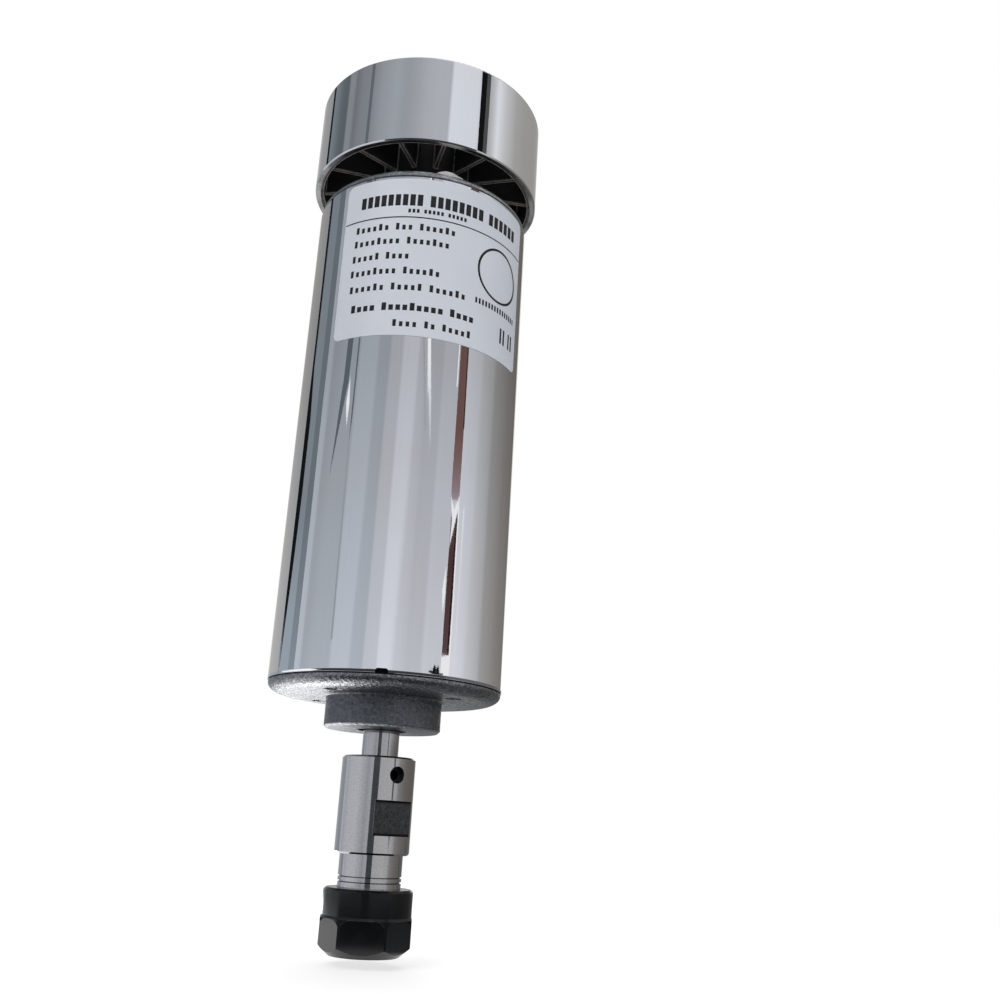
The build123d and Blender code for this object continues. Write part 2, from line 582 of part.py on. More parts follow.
# ---- magnets and the spring clips between them -------------------------------------------------
for side, name in enumerate(("magnet_a", "magnet_b")):
    with BuildPart() as magnet:
        with BuildSketch(radial_plane(POLE_ANGLE + 180 * side - MAGNET_SPAN / 2)):
            with Locations(((MAGNET_INNER_R + MAGNET_R) / 2, MAGNET_START_Z + MAGNET_LENGTH / 2)):
                Rectangle(MAGNET_R - MAGNET_INNER_R, MAGNET_LENGTH)
        revolve(axis=Axis.Z, revolution_arc=MAGNET_SPAN)
    save(magnet, name)

with BuildPart() as magnet_clips:
    end_gap = degrees(DROP_IN_GAP / MAGNET_INNER_R)
    clip_span = 180 - MAGNET_SPAN - 2 * end_gap
    fold_span = degrees(CLIP_THICKNESS / MAGNET_R)
    clip_middle_z = MAGNET_START_Z + MAGNET_LENGTH / 2
    for tie_angle in (TIE_ANGLE, TIE_ANGLE + 180):
        clip_start = tie_angle - clip_span / 2
        with BuildSketch(radial_plane(clip_start)):
            with Locations((MAGNET_R - CLIP_THICKNESS / 2, clip_middle_z)):
                Rectangle(CLIP_THICKNESS, MAGNET_LENGTH)
        revolve(axis=Axis.Z, revolution_arc=clip_span)
        for fold_start in (clip_start, clip_start + clip_span - fold_span):
            with BuildSketch(radial_plane(fold_start)):
                with Locations((MAGNET_R - CLIP_FOLD_DEPTH / 2, clip_middle_z)):
                    Rectangle(CLIP_FOLD_DEPTH, MAGNET_LENGTH)
            revolve(axis=Axis.Z, revolution_arc=fold_span)
save(magnet_clips, "magnet_clips")

# ---- long bolts that pull the two brackets onto the can ----------------------------------------
with BuildPart() as tie_bolts:
    tie_head_z = REAR_FACE_Z - TIE_SPOTFACE_DEPTH
    tie_tip_z = REGISTER_LENGTH - TIE_THREAD_DEPTH + TIE_SHANK_R / 2
    with BuildSketch(Plane.XY.offset(tie_tip_z)):
        with PolarLocations(TIE_CIRCLE_R, 2, start_angle=TIE_ANGLE):
            Circle(TIE_SHANK_R)
    extrude(amount=tie_head_z - tie_tip_z)
    with BuildSketch(Plane.XY.offset(tie_head_z)):
        with PolarLocations(TIE_CIRCLE_R, 2, start_angle=TIE_ANGLE):
            Circle(TIE_HEAD_R)
    extrude(amount=TIE_HEAD_HEIGHT)
    chamfer(tie_bolts.edges().group_by(Axis.Z)[-1], TIE_HEAD_CHAMFER)
    with BuildSketch(Plane.XY.offset(tie_head_z + TIE_HEAD_HEIGHT)):
        with PolarLocations(TIE_CIRCLE_R, 2, start_angle=TIE_ANGLE):
            Rectangle(2 * TIE_HEAD_R, TIE_SLOT_WIDTH, rotation=45)
    extrude(amount=-TIE_SLOT_DEPTH, mode=Mode.SUBTRACT)
save(tie_bolts, "tie_bolts")

# ---- shaft: chuck end, bearing journals, armature seat and fan stud -----------------------------
with BuildPart() as shaft:
    collar_z = FRONT_BEARING_Z + BEARING_WIDTH
    with BuildSketch(Plane.XZ):
        with BuildLine():
            Polyline(
                (0, SHAFT_END_Z),
                (SHAFT_R - SHAFT_CHAMFER, SHAFT_END_Z),
                (SHAFT_R, SHAFT_END_Z + SHAFT_CHAMFER),
                (SHAFT_R, collar_z),
                (SHAFT_COLLAR_R, collar_z),
                (SHAFT_COLLAR_R, collar_z + SHAFT_COLLAR_LENGTH),
                (SHAFT_CORE_R, collar_z + SHAFT_COLLAR_LENGTH),
                (SHAFT_CORE_R, REAR_BEARING_Z),
                (SHAFT_R, REAR_BEARING_Z),
                (SHAFT_R, FAN_SEAT_Z),
                (FAN_STUD_R, FAN_SEAT_Z),
                (FAN_STUD_R, STUD_END_Z - SHAFT_CHAMFER),
                (FAN_STUD_R - SHAFT_CHAMFER, STUD_END_Z),
                (0, STUD_END_Z),
                close=True,
            )
        make_face()
    revolve(axis=Axis.Z)
    for angle in (SET_SCREW_ANGLE, SET_SCREW_ANGLE + 180):
        with BuildSketch(facing_plane(angle, SHAFT_R - SHAFT_FLAT_DEPTH, SET_SCREW_Z)):
            with Locations((-SHAFT_FLAT_LENGTH / 2 + SET_SCREW_R + SHAFT_FLAT_DEPTH, 0)):
                Rectangle(SHAFT_FLAT_LENGTH, 2 * SHAFT_R)
        extrude(amount=SHAFT_R, mode=Mode.SUBTRACT)
save(shaft, "shaft")

# ---- armature: slotted core, slot insulators and copper ----------------------------------------
slot_reach = ARMATURE_R - SLOT_FLOOR_R


def slot_outline(inset):
    """Corners of one armature slot, drawn in by an inset on every side."""
    floor_half = SLOT_FLOOR_WIDTH / 2 - inset
    shoulder_half = SLOT_SHOULDER_WIDTH / 2 - inset
    floor_r = SLOT_FLOOR_R + inset
    shoulder_r = SLOT_SHOULDER_R - inset
    floor = (floor_r, -floor_half), (floor_r, floor_half)
    return floor[0], (shoulder_r, -shoulder_half), (shoulder_r, shoulder_half), floor[1]


with BuildPart() as armature_core:
    with BuildSketch(Plane.XY.offset(CORE_START_Z)):
        Circle(ARMATURE_R)
        Circle(SHAFT_CORE_R + SEAT_GAP, mode=Mode.SUBTRACT)
        with PolarLocations(0, SLOT_COUNT):
            Polygon(*slot_outline(0), align=None, mode=Mode.SUBTRACT)
            with Locations((SLOT_SHOULDER_R + slot_reach / 2, 0)):
                Rectangle(slot_reach, SLOT_MOUTH_WIDTH, mode=Mode.SUBTRACT)
    extrude(amount=CORE_LENGTH)
save(armature_core, "armature_core")

with BuildPart() as slot_insulators:
    for start_z in (CORE_START_Z - INSULATOR_THICKNESS, CORE_END_Z):
        with BuildSketch(Plane.XY.offset(start_z)):
            Circle(ARMATURE_R - AIR_GAP)
            Circle(SHAFT_CORE_R + SEAT_GAP, mode=Mode.SUBTRACT)
            with PolarLocations(0, SLOT_COUNT):
                Polygon(*slot_outline(INSULATOR_INSET), align=None, mode=Mode.SUBTRACT)
                with Locations((SLOT_SHOULDER_R + slot_reach / 2, 0)):
                    Rectangle(slot_reach, SLOT_MOUTH_WIDTH, mode=Mode.SUBTRACT)
        extrude(amount=INSULATOR_THICKNESS)
save(slot_insulators, "slot_insulators")

with BuildPart() as armature_windings:
    front_turns_z = CORE_START_Z - INSULATOR_THICKNESS
    rear_turns_z = CORE_END_Z + INSULATOR_THICKNESS
    for inner_z, outward in ((front_turns_z, -1), (rear_turns_z, 1)):
        outer_z = inner_z + outward * END_TURN_LENGTH
        rounding_z = outer_z - outward * END_TURN_ROUNDING
        with BuildSketch(Plane.XZ):
            with BuildLine():
                Polyline(
                    (END_TURN_R, rounding_z),
                    (END_TURN_R, inner_z),
                    (END_TURN_INNER_R, inner_z),
                    (END_TURN_INNER_R, outer_z),
                    (END_TURN_R - END_TURN_ROUNDING, outer_z),
                )
                RadiusArc(
                    (END_TURN_R - END_TURN_ROUNDING, outer_z),
                    (END_TURN_R, rounding_z),
                    outward * END_TURN_ROUNDING,
                )
            make_face()
        revolve(axis=Axis.Z)
    with BuildSketch(Plane.XY.offset(front_turns_z)):
        with PolarLocations(0, SLOT_COUNT):
            Polygon(*slot_outline(WIRE_GAP), align=None)
    extrude(amount=rear_turns_z - front_turns_z)
save(armature_windings, "armature_windings")

# ---- commutator --------------------------------------------------------------------------------
with BuildPart() as commutator_hub:
    with BuildSketch(Plane.XY.offset(COMMUTATOR_START_Z)):
        Circle(COMMUTATOR_CORE_R - SEAT_GAP)
        Circle(SHAFT_CORE_R + SEAT_GAP, mode=Mode.SUBTRACT)
    extrude(amount=COMMUTATOR_LENGTH)
save(commutator_hub, "commutator_hub")

with BuildPart() as commutator_bars:
    with BuildSketch(Plane.XY.offset(COMMUTATOR_START_Z)):
        Circle(RISER_R)
        Circle(COMMUTATOR_CORE_R, mode=Mode.SUBTRACT)
        with PolarLocations(RISER_R / 2, SLOT_COUNT):
            Rectangle(RISER_R + BAR_SPACE, BAR_SPACE, mode=Mode.SUBTRACT)
    extrude(amount=RISER_LENGTH)
    with BuildSketch(Plane.XY.offset(COMMUTATOR_START_Z)):
        Circle(COMMUTATOR_R)
        Circle(COMMUTATOR_CORE_R, mode=Mode.SUBTRACT)
        with PolarLocations(RISER_R / 2, SLOT_COUNT):
            Rectangle(RISER_R + BAR_SPACE, BAR_SPACE, mode=Mode.SUBTRACT)
    extrude(amount=COMMUTATOR_LENGTH)
save(commutator_bars, "commutator_bars")

# ---- brush gear --------------------------------------------------------------------------------
with BuildPart() as brush_plate:
    with BuildSketch(Plane.XY.offset(BRUSH_PLATE_Z)):
        Circle(BRUSH_PLATE_R)
        Circle(BRUSH_PLATE_BORE_R, mode=Mode.SUBTRACT)
        with PolarLocations(TIE_CIRCLE_R, 2, start_angle=TIE_ANGLE):
            Circle(TIE_HEAD_R, mode=Mode.SUBTRACT)
        with PolarLocations(PLATE_SCREW_CIRCLE_R, 2, start_angle=BRUSH_ANGLE + 45):
            Circle(PLATE_SCREW_R + DROP_IN_GAP, mode=Mode.SUBTRACT)
    extrude(amount=BRUSH_PLATE_THICKNESS)
save(brush_plate, "brush_plate")

with BuildPart() as brush_plate_screws:
    with BuildSketch(Plane.XY.offset(BRUSH_PLATE_Z)):
        with PolarLocations(PLATE_SCREW_CIRCLE_R, 2, start_angle=BRUSH_ANGLE + 45):
            Circle(PLATE_SCREW_R)
    extrude(amount=PLATE_SCREW_LENGTH)
    with BuildSketch(Plane.XY.offset(BRUSH_PLATE_Z)):
        with PolarLocations(PLATE_SCREW_CIRCLE_R, 2, start_angle=BRUSH_ANGLE + 45):
            Circle(PLATE_SCREW_HEAD_R)
    extrude(amount=-PLATE_SCREW_HEAD_HEIGHT)
    chamfer(brush_plate_screws.edges().group_by(Axis.Z)[0], PLATE_SCREW_HEAD_CHAMFER)
save(brush_plate_screws, "brush_plate_screws")

spring_seat_r = BOX_END_R - BOX_WALL
spring_start_r = COMMUTATOR_R + BRUSH_LENGTH - BRUSH_WELL_DEPTH + BRUSH_LIFT + SLIDE_GAP
for side, tag in enumerate(("a", "b")):
    angle = BRUSH_ANGLE + 180 * side
    with BuildPart() as brush:
        with BuildSketch(facing_plane(angle, 0, BRUSH_Z)):
            Rectangle(BRUSH_HEIGHT, BRUSH_WIDTH)
        extrude(amount=COMMUTATOR_R + BRUSH_LENGTH)
        with BuildSketch(Plane.XY.offset(BRUSH_Z - BRUSH_HEIGHT)):
            Circle(COMMUTATOR_R + SLIDE_GAP)
        extrude(amount=2 * BRUSH_HEIGHT, mode=Mode.SUBTRACT)
        with Locations(facing_plane(angle, COMMUTATOR_R + BRUSH_LENGTH, BRUSH_Z)):
            Hole(BRUSH_WELL_R, depth=BRUSH_WELL_DEPTH)
    save(brush, f"brush_{tag}")

    with BuildPart() as brush_box:
        with BuildSketch(facing_plane(angle, BOX_START_R, BRUSH_Z)):
            Rectangle(
                BRUSH_HEIGHT + 2 * (SLIDE_GAP + BOX_WALL),
                BRUSH_WIDTH + 2 * (SLIDE_GAP + BOX_WALL),
            )
        extrude(amount=BOX_END_R - BOX_START_R)
        with BuildSketch(facing_plane(angle, BOX_START_R, BRUSH_Z)):
            Rectangle(BRUSH_HEIGHT + 2 * SLIDE_GAP, BRUSH_WIDTH + 2 * SLIDE_GAP)
        extrude(amount=BOX_END_R - BOX_START_R - BOX_WALL, mode=Mode.SUBTRACT)
    save(brush_box, f"brush_box_{tag}")

    with BuildPart() as brush_spring:
        coil_base = facing_plane(angle, spring_start_r + SPRING_WIRE_R, BRUSH_Z)
        coil_height = spring_seat_r - spring_start_r - 2 * SPRING_WIRE_R - SLIDE_GAP
        with BuildLine() as coil:
            Helix(
                pitch=coil_height / SPRING_TURNS,
                height=coil_height,
                radius=SPRING_R,
                center=coil_base.origin,
                direction=coil_base.z_dir,
            )
        with BuildSketch(Plane(origin=coil.line @ 0, z_dir=coil.line % 0)):
            RegularPolygon(SPRING_WIRE_R, 6)
        sweep(is_frenet=True)
    save(brush_spring, f"brush_spring_{tag}")

with BuildPart() as supply_terminals:
    terminal_middle_r = BOX_END_R + TERMINAL_THICKNESS / 2
    terminal_foot_z = BRUSH_Z - BRUSH_HEIGHT / 2
    with BuildSketch(Plane.XY.offset(terminal_foot_z)):
        with PolarLocations(terminal_middle_r, 2, start_angle=BRUSH_ANGLE):
            Rectangle(TERMINAL_THICKNESS, TERMINAL_WIDTH)
    extrude(amount=REAR_FACE_Z + TERMINAL_RISE - terminal_foot_z)
    for angle in (BRUSH_ANGLE, BRUSH_ANGLE + 180):
        eye_z = REAR_FACE_Z + TERMINAL_RISE - 2 * TERMINAL_EYE_R
        with Locations(facing_plane(angle, BOX_END_R + TERMINAL_THICKNESS, eye_z)):
            Hole(TERMINAL_EYE_R, depth=TERMINAL_THICKNESS)
save(supply_terminals, "supply_terminals")

with BuildPart() as terminal_bushings:
    bushing_radial = TERMINAL_THICKNESS + 2 * (BUSHING_WALL - SEAT_GAP)
    bushing_side = TERMINAL_WIDTH + 2 * (BUSHING_WALL - SEAT_GAP)
    with BuildSketch(Plane.XY.offset(REAR_FACE_Z + BUSHING_PROUD - BUSHING_LENGTH)):
        with PolarLocations(terminal_middle_r, 2, start_angle=BRUSH_ANGLE):
            Rectangle(bushing_radial, bushing_side)
            Rectangle(
                TERMINAL_THICKNESS + 2 * SEAT_GAP,
                TERMINAL_WIDTH + 2 * SEAT_GAP,
                mode=Mode.SUBTRACT,
            )
    extrude(amount=BUSHING_LENGTH)
save(terminal_bushings, "terminal_bushings")

# ---- fan: moulded wheel inside a turned metal ring ----------------------------------------------
fan_ring_bore_r = FAN_RING_R - FAN_RING_WALL
fan_ring_end_z = FAN_RING_START_Z + FAN_RING_LENGTH
fan_rim_r = fan_ring_bore_r - SEAT_GAP
blade_low_z = FAN_RING_START_Z + BLADE_INSET
blade_high_z = fan_ring_end_z - BLADE_TOP_INSET

with BuildPart() as fan_wheel:
    with BuildSketch(Plane.XY.offset(FAN_RING_START_Z + FAN_RIM_INSET)):
        Circle(fan_rim_r)
        Circle(fan_rim_r - FAN_RIM_WALL, mode=Mode.SUBTRACT)
    extrude(amount=FAN_RING_LENGTH - 2 * FAN_RIM_INSET)
    with BuildSketch(Plane.XY.offset(blade_low_z)):
        Circle(FAN_HUB_R)
        Circle(FAN_HUB_R - FAN_HUB_WALL, mode=Mode.SUBTRACT)
    extrude(amount=blade_high_z - blade_low_z)
    with BuildSketch(Plane.XY.offset((blade_low_z + blade_high_z - FAN_WEB_THICKNESS) / 2)):
        Circle(FAN_HUB_R)
        Circle(FAN_STUD_R + SEAT_GAP, mode=Mode.SUBTRACT)
    extrude(amount=FAN_WEB_THICKNESS)
    with BuildSketch(Plane.XY.offset(FAN_SEAT_Z)):
        Circle(FAN_BOSS_R)
        Circle(FAN_STUD_R + SEAT_GAP, mode=Mode.SUBTRACT)
    extrude(amount=FAN_BOSS_LENGTH)
    blade_root_r = FAN_HUB_R - FAN_HUB_WALL / 2
    blade_tip_r = fan_rim_r - FAN_RIM_WALL / 2
    for blade in range(BLADE_COUNT):
        with BuildSketch(radial_plane(FIRST_BLADE_ANGLE + 360 * blade / BLADE_COUNT)):
            with BuildLine():
                Polyline(
                    (blade_root_r, blade_low_z + BLADE_SWEEP_BACK),
                    (blade_tip_r, blade_low_z),
                    (blade_tip_r, blade_high_z),
                    (blade_root_r, blade_high_z),
                    close=True,
                )
            make_face()
        extrude(amount=BLADE_THICKNESS / 2, both=True)
save(fan_wheel, "fan_wheel")

with BuildPart() as fan_ring:
    with BuildSketch(Plane.XY.offset(FAN_RING_START_Z)):
        Circle(FAN_RING_R)
        Circle(fan_ring_bore_r, mode=Mode.SUBTRACT)
    extrude(amount=FAN_RING_LENGTH)
    ring_corners = fan_ring.edges().filter_by(GeomType.CIRCLE)
    outer_corners = ring_corners.filter_by(lambda e: e.radius > fan_ring_bore_r + SEAT_GAP)
    fillet(outer_corners.group_by(Axis.Z)[-1], FAN_RING_ROUNDING)
    chamfer(outer_corners.group_by(Axis.Z)[0], RIM_CHAMFER)
save(fan_ring, "fan_ring")

with BuildPart() as fan_washer:
    with BuildSketch(Plane.XY.offset(FAN_SEAT_Z + FAN_BOSS_LENGTH)):
        Circle(WASHER_R)
        Circle(FAN_STUD_R + DROP_IN_GAP, mode=Mode.SUBTRACT)
    extrude(amount=WASHER_THICKNESS)
save(fan_washer, "fan_washer")

with BuildPart() as fan_nut:
    with BuildSketch(Plane.XY.offset(FAN_NUT_Z)):
        RegularPolygon(FAN_NUT_ACROSS_FLATS / 2, 6, major_radius=False)
    extrude(amount=FAN_NUT_HEIGHT)
    # the turned chamfer that takes the corners off both ends
    inscribed_r = FAN_NUT_ACROSS_FLATS / 2
    corner_r = FAN_NUT_ACROSS_FLATS / sqrt(3)
    corner_drop = (corner_r - inscribed_r) * tan(radians(FAN_NUT_CHAMFER_ANGLE))
    with BuildSketch(Plane.XZ):
        with Locations((0, FAN_NUT_Z + FAN_NUT_HEIGHT / 2)):
            half = FAN_NUT_HEIGHT / 2
            Polygon(
                (0, -half),
                (inscribed_r, -half),
                (corner_r, corner_drop - half),
                (corner_r, half - corner_drop),
                (inscribed_r, half),
                (0, half),
                align=None,
            )
    revolve(axis=Axis.Z, mode=Mode.INTERSECT)
    with Locations(Plane.XY.offset(FAN_NUT_Z + FAN_NUT_HEIGHT)):
        Hole(FAN_STUD_R + SEAT_GAP, depth=FAN_NUT_HEIGHT)
save(fan_nut, "fan_nut")

# ---- collet chuck: shaft bore, set screws, wrench flats, threaded neck and collet taper --------
with BuildPart() as collet_chuck:
    chuck_bore_end_z = CHUCK_TOP_Z - CHUCK_BORE_DEPTH
    taper_top_z = COLLET_TOP_Z + SLIDE_GAP + COLLET_SLOT_WIDTH
    with BuildSketch(Plane.XZ):
        with BuildLine():
            Polyline(
                (SHAFT_R + SEAT_GAP, CHUCK_TOP_Z),
                (CHUCK_R - CHUCK_CHAMFER, CHUCK_TOP_Z),
                (CHUCK_R, CHUCK_TOP_Z - CHUCK_CHAMFER),
                (CHUCK_R, CHUCK_STEP_Z + CHUCK_CHAMFER),
                (CHUCK_R - CHUCK_CHAMFER, CHUCK_STEP_Z),
                (CHUCK_NECK_R, CHUCK_STEP_Z),
                (CHUCK_NECK_R, CHUCK_END_Z + CHUCK_CHAMFER),
                (CHUCK_NECK_R - CHUCK_CHAMFER, CHUCK_END_Z),
                (collet_taper_r(CHUCK_END_Z) + SLIDE_GAP, CHUCK_END_Z),
                (collet_taper_r(taper_top_z) + SLIDE_GAP, taper_top_z),
                (CHUCK_PASSAGE_R, taper_top_z),
                (CHUCK_PASSAGE_R, chuck_bore_end_z),
                (SHAFT_R + SEAT_GAP, chuck_bore_end_z),
                close=True,
            )
        make_face()
    revolve(axis=Axis.Z)
    # where the thread starts: two turned grooves one pitch apart
    for groove in range(2):
        with BuildSketch(Plane.XZ):
            with Locations((CHUCK_NECK_R, RUNOUT_GROOVE_Z - groove * THREAD_PITCH)):
                Rectangle(2 * RUNOUT_GROOVE_DEPTH, RUNOUT_GROOVE_WIDTH)
        revolve(axis=Axis.Z, mode=Mode.SUBTRACT)
    for angle in (SET_SCREW_ANGLE, SET_SCREW_ANGLE + 180):
        with BuildSketch(facing_plane(angle, 0, SET_SCREW_Z)):
            Circle(SET_SCREW_R + SEAT_GAP)
        extrude(amount=CHUCK_R, mode=Mode.SUBTRACT)
    for angle in (WRENCH_FLAT_ANGLE, WRENCH_FLAT_ANGLE + 180):
        flat_middle_z = WRENCH_FLAT_TOP_Z - WRENCH_FLAT_LENGTH / 2
        with BuildSketch(facing_plane(angle, CHUCK_R - WRENCH_FLAT_CUT, flat_middle_z)):
            Rectangle(WRENCH_FLAT_LENGTH, 2 * CHUCK_R)
        extrude(amount=CHUCK_R, mode=Mode.SUBTRACT)
save(collet_chuck, "collet_chuck")

with BuildPart() as chuck_set_screws:
    for angle in (SET_SCREW_ANGLE, SET_SCREW_ANGLE + 180):
        with BuildSketch(facing_plane(angle, SHAFT_R - SHAFT_FLAT_DEPTH, SET_SCREW_Z)):
            Circle(SET_SCREW_R)
        extrude(amount=SET_SCREW_LENGTH)
        socket_floor_r = SHAFT_R - SHAFT_FLAT_DEPTH + SET_SCREW_LENGTH - SET_SCREW_SOCKET_DEPTH
        with BuildSketch(facing_plane(angle, socket_floor_r, SET_SCREW_Z)):
            RegularPolygon(SET_SCREW_SOCKET / 2, 6, major_radius=False)
        extrude(amount=SET_SCREW_SOCKET_DEPTH, mode=Mode.SUBTRACT)
save(chuck_set_screws, "chuck_set_screws")

# ---- collet: double taper, extractor groove and slots cut from both ends ------------------------
with BuildPart() as collet:
    lip_top_z = COLLET_END_Z + COLLET_LIP_LENGTH
    with BuildSketch(Plane.XZ):
        with BuildLine():
            Polyline(
                (COLLET_SHANK_R, COLLET_END_Z),
                (COLLET_NOSE_R - SEAT_GAP, COLLET_END_Z),
                (COLLET_NOSE_R - SEAT_GAP, lip_top_z),
                (COLLET_GROOVE_R, lip_top_z),
                (COLLET_GROOVE_R, COLLET_NOSE_Z),
                (COLLET_NOSE_R, COLLET_NOSE_Z),
                (COLLET_R, COLLET_WIDEST_Z),
                (collet_taper_r(COLLET_TOP_Z), COLLET_TOP_Z),
                (COLLET_SHANK_R, COLLET_TOP_Z),
                close=True,
            )
        make_face()
    revolve(axis=Axis.Z)
    nose_slot_z = COLLET_TOP_Z - COLLET_SLOT_UNCUT
    for angle in (0, 90):
        with BuildSketch(radial_plane(angle)):
            with Locations((0, (COLLET_END_Z + nose_slot_z) / 2)):
                Rectangle(4 * COLLET_R, nose_slot_z - COLLET_END_Z)
        extrude(amount=COLLET_SLOT_WIDTH / 2, both=True, mode=Mode.SUBTRACT)
    back_slot_z = COLLET_WIDEST_Z - COLLET_SLOT_WIDTH
    for angle in (45, 135):
        with BuildSketch(radial_plane(angle)):
            with Locations((0, (COLLET_TOP_Z + back_slot_z) / 2)):
                Rectangle(4 * COLLET_R, COLLET_TOP_Z - back_slot_z)
        extrude(amount=COLLET_SLOT_WIDTH / 2, both=True, mode=Mode.SUBTRACT)
save(collet, "collet")

# ---- collet nut: round body, six wrench flats with rounded tops, cone seat and ring groove ------
with BuildPart() as collet_nut:
    seat_top_r = COLLET_R + 2 * SLIDE_GAP
    seat_low_r = COLLET_NOSE_R + 2 * SLIDE_GAP
    extractor_seat_z = EXTRACTOR_Z - EXTRACTOR_THICKNESS
    hex_start_z = NUT_FLAT_TOP_Z + NUT_TOP_CHAMFER
    with BuildSketch(Plane.XZ):
        with BuildLine():
            Polyline(
                (CHUCK_NECK_R + SLIDE_GAP, NUT_TOP_Z),
                (NUT_R - NUT_TOP_CHAMFER, NUT_TOP_Z),
                (NUT_R, NUT_TOP_Z - NUT_TOP_CHAMFER),
                (NUT_R, hex_start_z),
                (NUT_HEX_CORNER_R, NUT_FLAT_TOP_Z),
                (NUT_HEX_CORNER_R, NUT_END_Z + NUT_NOSE_HEIGHT),
                (NUT_NOSE_R, NUT_END_Z),
                (seat_low_r, NUT_END_Z),
                (seat_low_r, extractor_seat_z),
                (EXTRACTOR_R + SEAT_GAP, extractor_seat_z),
                (EXTRACTOR_R + SEAT_GAP, EXTRACTOR_Z + SEAT_GAP),
                (seat_low_r, EXTRACTOR_Z + SEAT_GAP),
                (seat_top_r, COLLET_WIDEST_Z),
                (NUT_CHAMBER_R, COLLET_WIDEST_Z),
                (NUT_CHAMBER_R, CHUCK_END_Z - COLLET_SLOT_WIDTH),
                (CHUCK_NECK_R + SLIDE_GAP, CHUCK_END_Z - COLLET_SLOT_WIDTH),
                close=True,
            )
        make_face()
    revolve(axis=Axis.Z)
    flat_length = NUT_FLAT_TOP_Z - NUT_END_Z
    for side in range(6):
        with BuildSketch(facing_plane(NUT_FLAT_ANGLE + 60 * side, NUT_ACROSS_FLATS / 2, 0)):
            with Locations((NUT_FLAT_TOP_Z - flat_length, 0)):
                RectangleRounded(2 * flat_length, NUT_ACROSS_FLATS / sqrt(3), NUT_FLAT_CORNER_R)
        extrude(amount=NUT_R, mode=Mode.SUBTRACT)
save(collet_nut, "collet_nut")

with BuildPart() as extractor_ring:
    with BuildSketch(Plane.XY.offset(extractor_seat_z)):
        Circle(EXTRACTOR_R)
        with Locations((EXTRACTOR_ECCENTRICITY, 0)):
            Circle(COLLET_GROOVE_R + EXTRACTOR_ECCENTRICITY + DROP_IN_GAP, mode=Mode.SUBTRACT)
    extrude(amount=EXTRACTOR_THICKNESS)
save(extractor_ring, "extractor_ring")
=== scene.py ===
"""The motor spindle's looks: finishes for every CAD node, the rating label, the solder on the
supply tags, and a white studio with cloth walls and cards that only metal sees. Lengths are in
metres; the spindle's axis is Z."""

import math

import bmesh
import bpy
from mathutils import Matrix, Vector, noise


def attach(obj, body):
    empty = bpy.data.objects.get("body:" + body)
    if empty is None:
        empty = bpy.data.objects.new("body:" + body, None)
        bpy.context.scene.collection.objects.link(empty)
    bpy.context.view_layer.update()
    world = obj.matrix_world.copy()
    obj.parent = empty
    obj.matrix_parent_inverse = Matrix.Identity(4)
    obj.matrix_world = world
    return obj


MM = 0.001
CAN_RADIUS = 26.0 * MM
RING_RADIUS = 28.3 * MM
RING_FOOT = 123.9 * MM
BOSS_RADIUS = 12.85 * MM
BOSS_END = -9.4 * MM
RIM_NOTCH_BEARING = -92.3
RIM_NOTCH_HALF = 5.0
FLAT_BEARING = -55.0
FLAT_DEPTH = 6.5 * MM
FLAT_LOW = -31.4 * MM
FLAT_HIGH = -24.2 * MM
THREAD_END_LINES = ((-39.95 * MM, -39.75 * MM), (-41.0 * MM, -40.8 * MM))
BRUSH_TRACK = (96.2 * MM, 102.3 * MM)
NOSE_END = -55.4 * MM
COLLET_DRAW = 2.0 * MM
TAG_BEARING = 14.0
TAG_RADIUS = 22.0 * MM
WHITE = (1.0, 1.0, 1.0)
DEEP_SHADE = (0.012, 0.012, 0.014)

# The label is a printed vinyl sheet wrapped part of the way round the can.
LABEL_WEST = -44.5
LABEL_EAST = 66.0
LABEL_LOW = 74.5 * MM
LABEL_HIGH = 114.7 * MM
LABEL_THICKNESS = 0.09 * MM
LABEL_CORNER = 1.6 * MM
LABEL_LIFT = 0.01 * MM
LABEL_STRIPS = 64
INK_LIFT = 0.008 * MM

# The studio: a floor disc, cloth walls about 1.2 m away, and cards in front of them.
FLOOR_RADIUS = 0.32
FLOOR_CLEARANCE = 0.02 * MM
ROOM_STRENGTH = 0.36                      # of the white room, on what is neither seen nor mirrored
CARD_TOP = 0.90
HIGH_CARD_TOP = 1.5
CARD_DISTANCE = 1.18
LOW_CARD_FOOT = -0.6
LOW_CARD_TOP = 0.115
CARD_STEP = 4                             # degrees for each facet of a standing card
TABLE_STEP = 5                            # degrees for each facet of a table piece
FOLDS_ROUND = 30.0
FOLDS_UP = 1.3
LAMP_AIM = (0, 0, 0.04)

CAMERA_PLACE = (0.0, -238.724 * MM, -28.3 * MM)
CAMERA_HEADING = -5.6194                  # degrees, as the next two
CAMERA_TILT = 17.2852                     # up from level
CAMERA_ROLL = 3.1241
CAMERA_LENS = 37.758

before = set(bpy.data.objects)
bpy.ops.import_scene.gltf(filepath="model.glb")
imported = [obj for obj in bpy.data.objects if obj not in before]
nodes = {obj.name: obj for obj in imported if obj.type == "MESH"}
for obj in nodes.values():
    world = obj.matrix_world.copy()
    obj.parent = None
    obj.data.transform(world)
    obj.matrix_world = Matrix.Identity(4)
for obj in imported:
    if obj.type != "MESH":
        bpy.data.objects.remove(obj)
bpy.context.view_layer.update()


# ---------------------------------------------------------------- finishes


def shade(colour, share):
    """A colour made darker or lighter."""
    return tuple(c * share for c in colour)


def tinted(colour, tint):
    """A colour with each of its channels scaled."""
    return tuple(c * t for c, t in zip(colour, tint))


